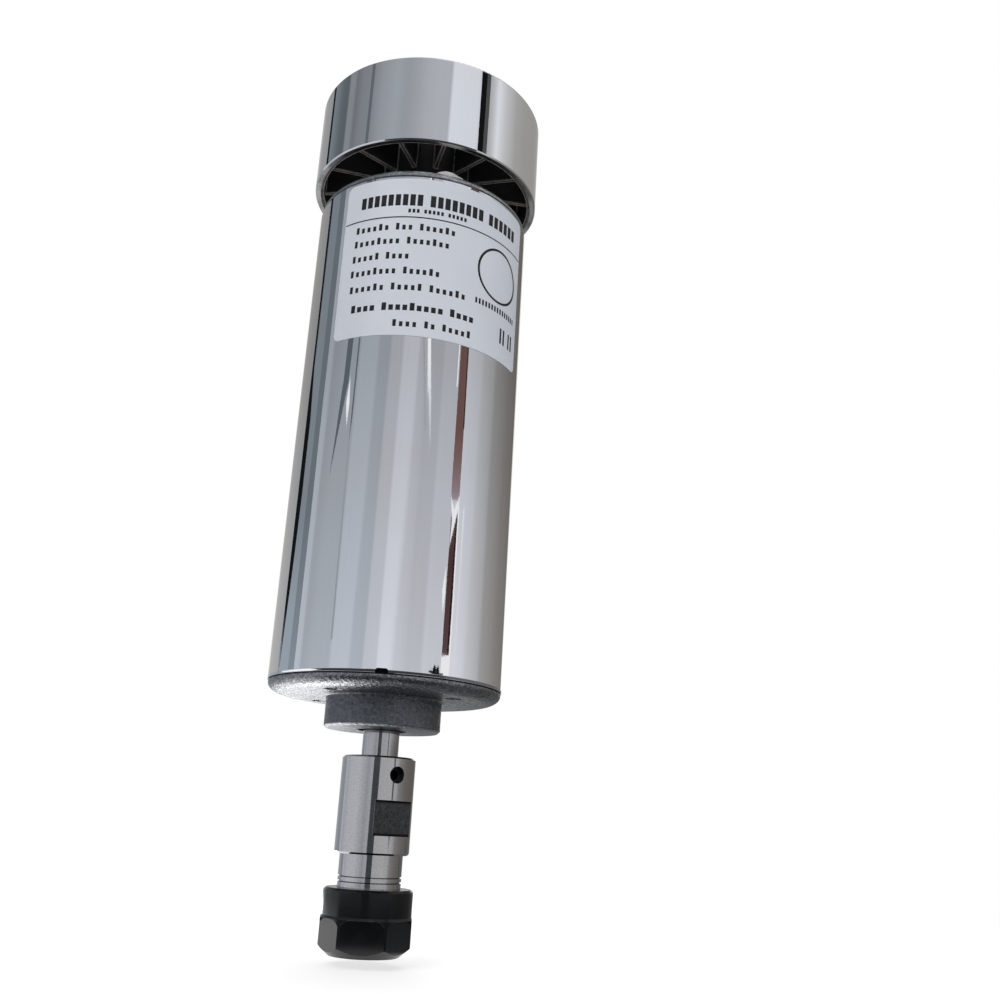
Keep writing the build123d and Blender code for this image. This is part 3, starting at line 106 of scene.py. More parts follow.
class Finish:
    """One material: a principled shader, and the patterns that feed it in Object coordinates."""

    def __init__(self, name, colour, metallic=0.0, roughness=0.5):
        self.material = bpy.data.materials.new(name)
        self.material.use_nodes = True
        self.nodes = self.material.node_tree.nodes
        self.links = self.material.node_tree.links
        self.shader = self.nodes["Principled BSDF"]
        self.set("Base Color", (*colour, 1.0))
        self.set("Metallic", metallic)
        self.set("Roughness", roughness)
        self.place = self.nodes.new("ShaderNodeTexCoord").outputs["Object"]

    def feed(self, socket, value):
        if isinstance(value, bpy.types.NodeSocket):
            self.links.new(value, socket)
        else:
            socket.default_value = value

    def set(self, socket, value):
        self.feed(self.shader.inputs[socket], value)

    def maths(self, operation, *values):
        node = self.nodes.new("ShaderNodeMath")
        node.operation = operation
        for socket, value in zip(node.inputs, values):
            self.feed(socket, value)
        return node.outputs[0]

    def along(self, axis):
        """The X, Y or Z place of a point."""
        node = self.nodes.new("ShaderNodeSeparateXYZ")
        self.links.new(self.place, node.inputs[0])
        return node.outputs[axis]

    def radius(self):
        """The distance from the spindle's axis."""
        squares = [self.maths("POWER", self.along(axis), 2.0) for axis in "XY"]
        return self.maths("SQRT", self.maths("ADD", *squares))

    def bearing(self):
        """The angle round the spindle's axis, in radians, from +X."""
        return self.maths("ARCTAN2", self.along("Y"), self.along("X"))

    def point(self, x, y, z):
        node = self.nodes.new("ShaderNodeCombineXYZ")
        for socket, value in zip(node.inputs, (x, y, z)):
            self.feed(socket, value)
        return node.outputs[0]

    def turned(self, size, arc=0.4):
        """Places that make a pattern run in rings round the axis, as a lathe or grinder leaves it."""
        return self.point(
            self.maths("MULTIPLY", self.radius(), 1.0 / size),
            self.maths("MULTIPLY", self.maths("ABSOLUTE", self.bearing()), arc),
            self.maths("MULTIPLY", self.along("Z"), 1.0 / size),
        )

    def noise(self, size, detail=2.0, harsh=0.5, stretch=(1.0, 1.0, 1.0), at=None, warp=0.0):
        """Soft irregular patches of about this size, drawn out by stretch."""
        node = self.nodes.new("ShaderNodeTexNoise")
        if at is None:
            mapping = self.nodes.new("ShaderNodeMapping")
            mapping.inputs["Scale"].default_value = [1.0 / (size * s) for s in stretch]
            self.links.new(self.place, mapping.inputs["Vector"])
            at = mapping.outputs[0]
        self.links.new(at, node.inputs["Vector"])
        node.inputs["Scale"].default_value = 1.0
        node.inputs["Detail"].default_value = detail
        node.inputs["Roughness"].default_value = harsh
        node.inputs["Distortion"].default_value = warp
        return node.outputs["Fac"]

    def cells(self, size, feature="F1"):
        """Rounded cells of this size, for cast grain and blasted pits."""
        node = self.nodes.new("ShaderNodeTexVoronoi")
        node.feature = feature
        node.inputs["Scale"].default_value = 1.0 / size
        self.links.new(self.place, node.inputs["Vector"])
        return node.outputs["Distance"]

    def spread(self, value, low, high, to_low=0.0, to_high=1.0):
        """Eases from one amount to another while value goes from low to high."""
        node = self.nodes.new("ShaderNodeMapRange")
        node.interpolation_type = "SMOOTHSTEP"
        for socket, amount in zip(node.inputs, (value, low, high, to_low, to_high)):
            self.feed(socket, amount)
        return node.outputs[0]

    def band(self, value, low, high, soft):
        """1 between low and high, easing to 0 outside over soft."""
        rise = self.spread(value, low - soft, low + soft)
        fall = self.spread(value, high - soft, high + soft, 1.0, 0.0)
        return self.maths("MULTIPLY", rise, fall)

    def mix(self, share, first, second):
        """A colour between two, each a colour or another mix."""
        node = self.nodes.new("ShaderNodeMix")
        node.data_type = "RGBA"
        self.feed(node.inputs[0], share)
        for socket, colour in ((node.inputs[6], first), (node.inputs[7], second)):
            self.feed(socket, colour if isinstance(colour, bpy.types.NodeSocket) else (*colour, 1.0))
        return node.outputs[2]

    def ramp(self, share, stops):
        """A colour that runs straight from stop to stop; stops are (share, colour)."""
        node = self.nodes.new("ShaderNodeValToRGB")
        elements = node.color_ramp.elements
        for place, colour in stops[2:]:
            elements.new(place)
        for element, (place, colour) in zip(elements, sorted(stops)):
            element.position = place
            element.color = (*colour, 1.0)
        self.links.new(share, node.inputs[0])
        return node.outputs["Color"]

    def relief(self, height, depth, under=None):
        """Raises the surface by depth where height is 1, over the relief under it."""
        node = self.nodes.new("ShaderNodeBump")
        node.inputs["Distance"].default_value = depth
        self.links.new(height, node.inputs["Height"])
        if under is not None:
            self.links.new(under, node.inputs["Normal"])
        return node.outputs["Normal"]

    def edges(self, width):
        """1 on corners within about this width, where handling wears a finish through; the fan's thin
        edges take a painted highlight there.
        """
        bevel = self.nodes.new("ShaderNodeBevel")
        bevel.samples = 4
        bevel.inputs["Radius"].default_value = width
        true = self.nodes.new("ShaderNodeNewGeometry")
        dot = self.nodes.new("ShaderNodeVectorMath")
        dot.operation = "DOT_PRODUCT"
        self.links.new(bevel.outputs[0], dot.inputs[0])
        self.links.new(true.outputs["Normal"], dot.inputs[1])
        return self.spread(dot.outputs["Value"], 0.985, 0.86)


def chrome_plate(name, colour, wave, haze, cut_end=None):
    """Bright plated tube: sharp reflections, a slow waviness along the draw, faint wiping haze.
    The plating is thin and grey on the faced end below cut_end."""
    f = Finish(name, colour, 1.0)
    cloud = f.noise(15 * MM, 3.0, 0.55, (1, 1, 2.5))
    rough = f.spread(cloud, 0.35, 0.8, 0.015, haze)
    warm = tinted(colour, (0.99, 0.975, 0.96))
    skin = f.mix(f.spread(f.noise(22 * MM, 2.0), 0.35, 0.7), colour, warm)
    if cut_end:
        foot = f.maths(
            "MULTIPLY",
            f.spread(f.along("Z"), cut_end, cut_end + 0.1 * MM, 1.0, 0.0),
            f.spread(f.radius(), RING_RADIUS - 0.35 * MM, RING_RADIUS - 0.15 * MM, 1.0, 0.0),
        )
        patchy = f.mix(f.spread(f.noise(9 * MM, 3.0), 0.35, 0.65), (0.30, 0.30, 0.31), (0.66, 0.66, 0.67))
        skin = f.mix(foot, skin, patchy)
        rough = f.maths("ADD", rough, f.maths("MULTIPLY", foot, 0.22))
    f.set("Roughness", rough)
    f.set("Base Color", skin)
    draw = f.noise(6 * MM, 1.0, 0.4, (1, 1, 9))
    peel = f.noise(1.1 * MM, 2.0, 0.6)
    scuff = f.noise(0.25 * MM, 2.0, 0.7, (1, 1, 14))
    rolled = f.spread(f.along("Z"), 0.0, 0.62 * MM)
    edge = f.relief(rolled, 0.34 * MM)
    f.set("Normal", f.relief(scuff, 0.00025 * MM, f.relief(peel, 0.0012 * MM, f.relief(draw, wave, edge))))
    return f.material


def cast_alloy(name, colour, depth, boss_colour=None):
    """Blasted die-cast zinc alloy: sparkling grain and pits, raised by depth. With a boss colour it
    also has a duller machined boss whose lower corner carries a painted highlight, and painted
    shade along the joint where it meets the can and in the rim's notch."""
    f = Finish(name, colour, 1.0)
    grain = f.noise(0.8 * MM, 3.0, 0.75)
    pits = f.cells(0.95 * MM)
    cloud = f.noise(5 * MM, 3.0)
    skin = f.mix(f.spread(grain, 0.36, 0.62), shade(colour, 0.55), shade(colour, 1.12))
    skin = f.mix(f.spread(cloud, 0.30, 0.75, 0.0, 0.35), skin, shade(colour, 0.8))
    roughness = f.spread(grain, 0.3, 0.7, 0.40, 0.20)
    if boss_colour:
        out = f.radius()
        z = f.along("Z")
        boss = f.spread(out, BOSS_RADIUS + 0.05 * MM, BOSS_RADIUS + 0.2 * MM, 1.0, 0.0)
        machined = f.mix(f.spread(grain, 0.35, 0.8), boss_colour, shade(boss_colour, 1.4))
        # The boss's lower corner: a painted highlight, pale and smooth, broken up by the cloud.
        at_end = f.spread(z, BOSS_END + 0.15 * MM, BOSS_END + 0.55 * MM, 1.0, 0.0)
        at_edge = f.spread(out, BOSS_RADIUS - 0.75 * MM, BOSS_RADIUS - 0.45 * MM)
        corner = f.maths("MULTIPLY", at_end, at_edge)
        corner = f.maths("MULTIPLY", corner, f.spread(cloud, 0.2, 0.5, 0.45, 1.0))
        skin = f.mix(corner, f.mix(boss, skin, machined), (0.56, 0.57, 0.59))
        # Painted shade: a dark band along the joint where the bracket meets the can, and in the rim's
        # notch.
        at_rim = f.spread(out, CAN_RADIUS - 1.6 * MM, CAN_RADIUS - 1.2 * MM)
        joint = f.maths("MULTIPLY", f.spread(z, -0.42 * MM, -0.2 * MM), at_rim)
        notch_west = math.radians(RIM_NOTCH_BEARING - RIM_NOTCH_HALF)
        notch_east = math.radians(RIM_NOTCH_BEARING + RIM_NOTCH_HALF)
        notch = f.band(f.bearing(), notch_west, notch_east, 0.01)
        joint = f.maths("MAXIMUM", joint, f.maths("MULTIPLY", notch, f.spread(z, -0.3 * MM, 0.1 * MM)))
        skin = f.mix(joint, skin, DEEP_SHADE)
        roughness = f.maths("ADD", roughness, f.maths("MULTIPLY", boss, 0.06))
        roughness = f.spread(corner, 0.0, 0.8, roughness, 0.13)
    f.set("Base Color", skin)
    f.set("Roughness", roughness)
    f.set("Normal", f.relief(pits, depth / 2, f.relief(grain, depth)))
    return f.material


def ground_steel(name, colour, roughness, line=0.07 * MM):
    """Centreless-ground steel: fine rings round the axis and a satin reflection."""
    f = Finish(name, colour, 1.0)
    rings = f.noise(line, 2.0, 0.6, at=f.turned(line))
    broad = f.noise(1.2 * MM, 2.0, 0.5, at=f.turned(1.2 * MM, 1.5))
    speck = f.noise(0.22 * MM, 2.0, 0.6)
    dull = shade(colour, 0.82)
    f.set("Base Color", f.mix(f.spread(speck, 0.3, 0.7), dull, colour))
    f.set("Roughness", f.spread(broad, 0.3, 0.7, roughness * 0.85, roughness * 1.2))
    f.set("Normal", f.relief(speck, 0.0012 * MM, f.relief(rings, 0.0007 * MM)))
    return f


def chuck_steel():
    """The collet chuck: ground outside, with milled wrench flats and the cut lines where the thread
    ends. The flats' swirled floors are painted dark as shade, and their top and bottom walls darker still."""
    f = ground_steel("ground_chuck_steel", (0.62, 0.62, 0.64), 0.075)
    steel, rough, relief = (
        f.shader.inputs[socket].links[0].from_socket for socket in ("Base Color", "Roughness", "Normal")
    )
    across = math.radians(FLAT_BEARING)
    z = f.along("Z")
    lean = f.maths(
        "ABSOLUTE",
        f.maths(
            "ADD",
            f.maths("MULTIPLY", f.along("X"), math.cos(across)),
            f.maths("MULTIPLY", f.along("Y"), math.sin(across)),
        ),
    )
    inside = f.band(z, FLAT_LOW, FLAT_HIGH, 0.01 * MM)
    floor = f.maths("MULTIPLY", f.spread(lean, FLAT_DEPTH - 0.04 * MM, FLAT_DEPTH - 0.01 * MM), inside)
    middle = (FLAT_LOW + FLAT_HIGH) / 2
    half = (FLAT_HIGH - FLAT_LOW) / 2
    from_middle = f.maths("ABSOLUTE", f.maths("SUBTRACT", z, middle))
    # Painted shade along the top and bottom walls of each flat.
    corner = f.spread(from_middle, half - 0.75 * MM, half - 0.15 * MM)
    swirl = f.noise(0.5 * MM, 4.0, 0.7, (1, 1, 1.6), warp=1.2)
    # The flat's floor: a milled swirl, painted dark as shade in the recess.
    milled = f.mix(f.spread(swirl, 0.3, 0.7), (0.045, 0.047, 0.052), (0.13, 0.132, 0.14))
    milled = f.mix(corner, milled, DEEP_SHADE)
    lines = f.maths("MAXIMUM", *(f.band(z, low, high, 0.05 * MM) for low, high in THREAD_END_LINES))
    steel = f.mix(lines, steel, (0.06, 0.06, 0.065))
    f.set("Base Color", f.mix(floor, steel, milled))
    f.set("Roughness", f.maths("ADD", rough, f.maths("MULTIPLY", floor, 0.32)))
    f.set("Normal", f.relief(f.maths("MULTIPLY", swirl, floor), 0.02 * MM, relief))
    return f.material


def black_oxide():
    """Hot-blacked clamping nut: blue-black and matt, rubbed back to steel along its corners."""
    f = Finish("black_oxide_steel", (0.004, 0.0045, 0.0055))
    grain = f.noise(0.18 * MM, 3.0, 0.65)
    cloud = f.noise(4 * MM, 3.0, 0.6)
    rings = f.noise(0.12 * MM, 2.0, 0.6, at=f.turned(0.12 * MM))
    skin = f.mix(f.spread(cloud, 0.3, 0.7), (0.0025, 0.0028, 0.0035), (0.0055, 0.006, 0.0075))
    rub = f.noise(1.6 * MM, 4.0, 0.7)
    worn = f.maths("MULTIPLY", f.edges(0.35 * MM), f.spread(rub, 0.42, 0.62))
    f.set("Base Color", f.mix(worn, skin, (0.045, 0.047, 0.052)))
    f.set("Specular IOR Level", 0.46)
    f.set("Roughness", f.spread(grain, 0.25, 0.75, 0.15, 0.22))
    f.set("Normal", f.relief(rings, 0.0006 * MM, f.relief(grain, 0.001 * MM)))
    return f.material


def black_plastic():
    """Moulded fan: black nylon with a fine spark-eroded skin, its thin edges painted pale grey as a
    highlight.
    """
    f = Finish("black_fan_plastic", (0.012, 0.012, 0.013), 0.0)
    grain = f.noise(0.3 * MM, 3.0, 0.6)
    flow = f.noise(6 * MM, 2.0, 0.5)
    # Painted highlight: pale grey along the thin edges, broken up by noise.
    painted_edge_highlight = f.maths("MULTIPLY", f.edges(0.7 * MM), f.spread(f.noise(2.2 * MM, 3.0), 0.2, 0.5))
    skin = f.mix(f.spread(flow, 0.3, 0.7), (0.010, 0.010, 0.011), (0.020, 0.020, 0.022))
    f.set("Base Color", f.mix(painted_edge_highlight, skin, (0.62, 0.57, 0.53)))
    f.set("Roughness", f.spread(grain, 0.3, 0.7, 0.3, 0.46))
    f.set("Normal", f.relief(grain, 0.008 * MM))
    return f.material


def zinc_plate(name, colour):
    """Bright zinc with a faint blue and straw passivation."""
    f = Finish(name, colour, 1.0)
    film = f.noise(2.0 * MM, 2.0, 0.5, warp=0.6)
    grain = f.noise(0.12 * MM, 2.0, 0.6)
    straw = tinted(colour, (1.0, 0.94, 0.80))
    blue = tinted(colour, (0.90, 0.96, 1.05))
    f.set("Base Color", f.mix(f.spread(film, 0.35, 0.65), blue, straw))
    f.set("Roughness", f.spread(f.noise(0.8 * MM, 3.0), 0.3, 0.7, 0.2, 0.34))
    rings = f.noise(0.14 * MM, 2.0, 0.5, at=f.turned(0.14 * MM))
    f.set("Normal", f.relief(rings, 0.003 * MM, f.relief(grain, 0.003 * MM)))
    return f.material


def plain_metal(name, colour, roughness, tarnish=0.8, size=1.5 * MM):
    """A rolled or drawn metal part with slight tarnish and fine scratches."""
    f = Finish(name, colour, 1.0)
    cloud = f.noise(size, 3.0, 0.6)
    scratch = f.noise(0.1 * MM, 2.0, 0.6, (1, 6, 3))
    f.set("Base Color", f.mix(f.spread(cloud, 0.3, 0.7), shade(colour, tarnish), colour))
    f.set("Roughness", f.spread(cloud, 0.3, 0.7, roughness * 0.8, roughness * 1.3))
    f.set("Normal", f.relief(scratch, 0.002 * MM))
    return f.material


def polished_race(name, colour, roughness):
    """Hardened bearing steel, lapped in rings."""
    f = Finish(name, colour, 1.0)
    rings = f.noise(0.05 * MM, 2.0, 0.5, at=f.turned(0.05 * MM))
    cloud = f.noise(2 * MM, 2.0)
    f.set("Base Color", f.mix(f.spread(cloud, 0.3, 0.7), shade(colour, 0.92), colour))
    f.set("Roughness", f.spread(cloud, 0.3, 0.7, roughness, roughness * 1.6))
    f.set("Normal", f.relief(rings, 0.0006 * MM))
    return f.material


def phenolic(name, colour):
    """Paper-laminated phenolic: thin layers along Z and a soft waxy skin."""
    f = Finish(name, colour, 0.0)
    layers = f.noise(0.16 * MM, 2.0, 0.5, (12, 12, 1))
    fibre = f.noise(0.5 * MM, 3.0, 0.7)
    pale = tuple(min(1.0, c * 1.9) for c in colour)
    paper = f.mix(f.spread(fibre, 0.3, 0.7), colour, pale)
    f.set("Base Color", f.mix(f.spread(layers, 0.35, 0.7), colour, paper))
    f.set("Roughness", f.spread(fibre, 0.3, 0.7, 0.34, 0.52))
    f.set("Normal", f.relief(fibre, 0.006 * MM))
    return f.material


def lamination_stack():
    """Stacked electrical-steel sheets, half a millimetre each, with a thin blue varnish."""
    f = Finish("lamination_steel_stack", (0.30, 0.31, 0.33), 1.0)
    sheet = f.maths("PINGPONG", f.along("Z"), 0.25 * MM)
    gap = f.spread(sheet, 0.0, 0.05 * MM, 1.0, 0.0)
    varnish = f.noise(3 * MM, 3.0)
    skin = f.mix(f.spread(varnish, 0.3, 0.7), (0.24, 0.26, 0.30), (0.36, 0.35, 0.34))
    f.set("Base Color", f.mix(gap, skin, (0.05, 0.05, 0.055)))
    f.set("Roughness", f.spread(varnish, 0.3, 0.7, 0.3, 0.48))
    f.set("Normal", f.relief(f.spread(sheet, 0.0, 0.06 * MM), 0.03 * MM))
    return f.material


def magnet_wire():
    """Enamelled copper laid in strands along the slots, varnished in."""
    f = Finish("enamelled_copper_wire", (0.52, 0.17, 0.06), 0.85)
    lay = f.point(
        f.maths("MULTIPLY", f.maths("ABSOLUTE", f.bearing()), 46.0),
        f.maths("MULTIPLY", f.radius(), 1.0 / (0.6 * MM)),
        f.maths("MULTIPLY", f.along("Z"), 1.0 / (9 * MM)),
    )
    strands = f.noise(MM, 1.0, 0.4, at=lay)
    varnish = f.noise(1.5 * MM, 3.0)
    f.set("Base Color", f.mix(f.spread(strands, 0.35, 0.62), (0.16, 0.045, 0.016), (0.62, 0.21, 0.075)))
    f.set("Roughness", f.spread(varnish, 0.3, 0.7, 0.2, 0.36))
    f.set("Normal", f.relief(strands, 0.12 * MM))
    return f.material


def commutator_copper():
    """Hard-drawn copper bars with a brown brush track worn round them."""
    f = Finish("commutator_copper_bar", (0.70, 0.33, 0.18), 1.0)
    rings = f.noise(0.12 * MM, 2.0, 0.6, at=f.turned(0.12 * MM))
    track = f.band(f.along("Z"), *BRUSH_TRACK, 0.2 * MM)
    film = f.mix(f.spread(rings, 0.3, 0.7), (0.22, 0.10, 0.065), (0.34, 0.165, 0.10))
    bare = f.mix(f.spread(f.noise(1.2 * MM, 3.0), 0.3, 0.7), (0.56, 0.25, 0.13), (0.72, 0.35, 0.20))
    f.set("Base Color", f.mix(track, bare, film))
    f.set("Roughness", f.spread(rings, 0.3, 0.7, 0.18, 0.3))
    f.set("Normal", f.relief(rings, 0.006 * MM))
    return f.material


def pressed_powder(name, colour, roughness, size):
    """Pressed and fired powder, such as carbon or ferrite: dull, with a fine open grain."""
    f = Finish(name, colour, 0.1)
    grain = f.noise(size, 4.0, 0.7)
    rubbed = f.noise(3 * MM, 2.0, 0.5, (1, 1, 3))
    polished = f.mix(f.spread(rubbed, 0.3, 0.7), colour, shade(colour, 2.2))
    f.set("Base Color", f.mix(f.spread(grain, 0.35, 0.75), colour, polished))
    f.set("Roughness", f.spread(rubbed, 0.3, 0.7, roughness * 0.85, min(1.0, roughness * 1.1)))
    f.set("Normal", f.relief(grain, 0.02 * MM))
    return f.material


def tin_plate():
    """Stamped brass tag, hot tinned: pale and slightly wavy, with brass at its sheared edge."""
    f = Finish("tinned_brass_tag", (0.62, 0.61, 0.58), 1.0)
    flow = f.noise(1.6 * MM, 2.0, 0.5)
    brass = f.maths("MULTIPLY", f.edges(0.12 * MM), f.spread(f.noise(0.9 * MM, 2.0), 0.4, 0.65))
    skin = f.mix(f.spread(flow, 0.3, 0.7), (0.50, 0.49, 0.47), (0.68, 0.67, 0.65))
    f.set("Base Color", f.mix(brass, skin, (0.60, 0.42, 0.17)))
    f.set("Roughness", f.spread(flow, 0.3, 0.7, 0.24, 0.4))
    f.set("Normal", f.relief(flow, 0.03 * MM))
    return f.material


def solder():
    """Hand-soldered joint: lumpy, dulled where it froze last, and painted near white as a highlight."""
    f = Finish("solder_alloy", (0.66, 0.66, 0.65), 0.25)
    frost = f.noise(0.5 * MM, 3.0, 0.6)
    # Painted highlight: the solder's colour is near white, so that it shows bright though dimly lit.
    f.set("Base Color", f.mix(f.spread(frost, 0.3, 0.7), (0.90, 0.90, 0.89), (0.97, 0.97, 0.96)))
    f.set("Roughness", f.spread(frost, 0.3, 0.7, 0.12, 0.3))
    f.set("Normal", f.relief(frost, 0.012 * MM))
    return f.material


def label_vinyl():
    """Cool white vinyl with a satin skin and the slight print-through of its liner."""
    f = Finish("label_vinyl", (0.74, 0.78, 0.86), 0.0)
    liner = f.noise(0.35 * MM, 3.0, 0.6)
    cloud = f.noise(18 * MM, 1.0)
    f.set("Base Color", f.mix(f.spread(cloud, 0.2, 0.8), (0.72, 0.76, 0.84), (0.76, 0.80, 0.875)))
    f.set("Roughness", f.spread(liner, 0.2, 0.8, 0.28, 0.34))
    f.set("Normal", f.relief(liner, 0.0012 * MM))
    return f.material


def label_ink():
    """Screen-printed black ink: a little uneven, slightly duller than the vinyl."""
    f = Finish("label_ink", (0.012, 0.012, 0.014), 0.0)
    lay = f.noise(0.2 * MM, 3.0, 0.6)
    f.set("Base Color", f.mix(f.spread(lay, 0.3, 0.75), (0.008, 0.008, 0.010), (0.035, 0.035, 0.04)))
    f.set("Specular IOR Level", 0.2)
    f.set("Roughness", f.spread(lay, 0.3, 0.7, 0.4, 0.55))
    f.set("Normal", f.relief(lay, 0.002 * MM))
    return f.material


finishes = {
    "bright_chrome": chrome_plate("bright_chrome_plate", (0.80, 0.82, 0.86), 0.035 * MM, 0.07),
    "ring_chrome": chrome_plate(
        "ring_chrome_plate", (0.78, 0.80, 0.83), 0.015 * MM, 0.06, RING_FOOT + 0.12 * MM
    ),
    "cast_bracket": cast_alloy(
        "blasted_front_casting", (0.34, 0.35, 0.375), 0.20 * MM, (0.145, 0.156, 0.172)
    ),
    "rear_casting": cast_alloy("blasted_rear_casting", (0.46, 0.47, 0.49), 0.07 * MM),
    "ground_shaft": ground_steel("ground_shaft_steel", (0.54, 0.54, 0.56), 0.09).material,
    "ground_chuck": chuck_steel(),
    "black_screw": plain_metal("blackened_set_screw", (0.03, 0.03, 0.034), 0.42),
    "collet_steel": ground_steel("ground_collet_steel", (0.66, 0.65, 0.64), 0.2).material,
    "black_oxide_nut": black_oxide(),
    "extractor_steel": plain_metal("extractor_ring_steel", (0.46, 0.45, 0.44), 0.3),
    "fan_plastic": black_plastic(),
    "zinc_washer": zinc_plate("zinc_washer_plate", (0.66, 0.67, 0.69)),
    "zinc_nut": zinc_plate("zinc_nut_plate", (0.64, 0.65, 0.67)),
    "zinc_bolt": zinc_plate("zinc_bolt_plate", (0.60, 0.61, 0.63)),
    "zinc_screw": zinc_plate("zinc_screw_plate", (0.62, 0.63, 0.65)),
    "tinned_brass": tin_plate(),
    "phenolic_bushing": phenolic("phenolic_bushing_black", (0.035, 0.028, 0.024)),
    "phenolic_plate": phenolic("phenolic_plate_brown", (0.16, 0.075, 0.03)),
    "box_brass": plain_metal("pressed_box_brass", (0.72, 0.52, 0.24), 0.26),
    "carbon": pressed_powder("brush_carbon", (0.028, 0.028, 0.03), 0.6, 0.15 * MM),
    "spring_wire": plain_metal("spring_steel_wire", (0.42, 0.42, 0.43), 0.24),
    "ferrite": pressed_powder("ferrite_magnet_grey", (0.055, 0.055, 0.06), 0.7, 0.4 * MM),
    "clip_steel": plain_metal("magnet_clip_steel", (0.40, 0.42, 0.46), 0.24, 0.7),
    "lamination_steel": lamination_stack(),
    "enamelled_copper": magnet_wire(),
    "fibre": phenolic("slot_fibre_red", (0.30, 0.07, 0.035)),
    "commutator_resin": phenolic("commutator_resin_brown", (0.07, 0.035, 0.02)),
    "commutator_copper": commutator_copper(),
    "circlip_steel": plain_metal("phosphated_circlip_steel", (0.10, 0.10, 0.105), 0.4),
    "washer_steel": plain_metal("wave_washer_steel", (0.52, 0.52, 0.53), 0.26),
    "race_steel": polished_race("bearing_race_steel", (0.66, 0.66, 0.67), 0.12),
    "shield_steel": plain_metal("bearing_shield_steel", (0.56, 0.57, 0.58), 0.28),
    "ball_steel": polished_race("bearing_ball_steel", (0.72, 0.72, 0.73), 0.06),
    "cage_brass": plain_metal("bearing_cage_brass", (0.66, 0.50, 0.26), 0.28),
}

for node in nodes.values():
    for material_slot in node.material_slots:
        material_slot.material = finishes[material_slot.material.name]


# ---------------------------------------------------------------- new pieces


def piece(name, bm, material, body=None, smooth=True):
    """Finishes a bmesh as an object at the origin that rides on a body."""
    mesh = bpy.data.meshes.new(name)
    bm.to_mesh(mesh)
    bm.free()
    for face in mesh.polygons:
        face.use_smooth = smooth
    mesh.materials.append(material)
    made = bpy.data.objects.new(name, mesh)
    bpy.context.scene.collection.objects.link(made)
    if body:
        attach(made, body)
    return made


def wrap_round(bm, radius):
    """Bends a flat sheet, drawn with X as arc length and Y as depth, round the spindle's axis."""
    for v in bm.verts:
        turn = v.co.x / CAN_RADIUS
        out = radius - v.co.y
        v.co = (out * math.sin(turn), -out * math.cos(turn), v.co.z)


def arc(degrees):
    """The arc length on the can for an angle from the front."""
    return CAN_RADIUS * math.radians(degrees)


def upright_sheet(bm, west, east, low, high, columns):
    """A flat grid standing in X and Z."""
    size = Matrix.Diagonal(((east - west) / 2, (high - low) / 2, 1, 1))
    place = Matrix.Translation(((east + west) / 2, 0, (high + low) / 2))
    stand = Matrix.Rotation(math.radians(90), 4, "X")
    bmesh.ops.create_grid(bm, x_segments=columns, y_segments=1, size=1, matrix=place @ stand @ size)


def label_sheet():
    bm = bmesh.new()
    west, east = arc(LABEL_WEST), arc(LABEL_EAST)
    upright_sheet(bm, west, east, LABEL_LOW, LABEL_HIGH, 1)
    bmesh.ops.bevel(
        bm, geom=list(bm.verts), offset=LABEL_CORNER, offset_type="OFFSET", affect="VERTICES",
        segments=6, profile=0.5, material=-1,
    )
    for step in range(1, LABEL_STRIPS):
        cut = Vector((west + (east - west) * step / LABEL_STRIPS, 0, 0))
        whole = bm.verts[:] + bm.edges[:] + bm.faces[:]
        bmesh.ops.bisect_plane(bm, geom=whole, plane_co=cut, plane_no=(1, 0, 0))
    bmesh.ops.recalc_face_normals(bm, faces=bm.faces)
    bmesh.ops.solidify(bm, geom=bm.faces[:], thickness=LABEL_THICKNESS)
    depth = min(v.co.y for v in bm.verts)
    bmesh.ops.translate(bm, verts=bm.verts, vec=(0, -depth - LABEL_THICKNESS, 0))
    wrap_round(bm, CAN_RADIUS + LABEL_LIFT)
    bmesh.ops.recalc_face_normals(bm, faces=bm.faces)
    made = piece("label_sheet", bm, label_vinyl(), "stator")
    made.data.set_sharp_from_angle(angle=math.radians(40))
    return made


# Each printed row: its left end in degrees, its middle height, the strokes in each word, the height
# and pitch of a stroke, and its share of the pitch. The words are blanks that stand for a rating
# plate's lines.
PRINT_ROWS = (
    (-34.6, 109.0, (9, 8, 6), 3.0, 1.72, 0.72),
    (-8.6, 106.15, (3, 5, 5), 1.0, 0.98, 0.62),
    (-36.2, 102.0, (6, 3, 6), 1.75, 1.48, 0.52),
    (-36.5, 98.4, (8, 7), 1.75, 1.48, 0.52),
    (-36.8, 94.5, (5, 4), 1.75, 1.48, 0.52),
    (-37.1, 90.7, (8, 6), 1.75, 1.48, 0.52),
    (-36.6, 86.6, (6, 5, 6), 1.75, 1.52, 0.52),
    (-34.6, 81.6, (4, 9, 4), 1.9, 1.6, 0.66),
    (-11.6, 77.5, (4, 2, 5), 1.7, 1.5, 0.52),
    (30.0, 86.9, (15,), 1.4, 0.98, 0.56),
    (48.6, 81.0, (2, 2), 3.9, 1.3, 0.5),
)
CAPITAL_ROWS = (0, 1, 9, 10)
WORD_GAP = 0.75                           # in strokes
LOW_STROKE = 0.72
TALL_STROKES = (0, 4, 9)
ROUND_MARK = (45.5, 95.6)
ROUND_MARK_RADII = (6.35 * MM, 6.95 * MM)
RULED_LINE = (104.3 * MM, 104.62 * MM)
RULED_LINE_INSET = 0.4


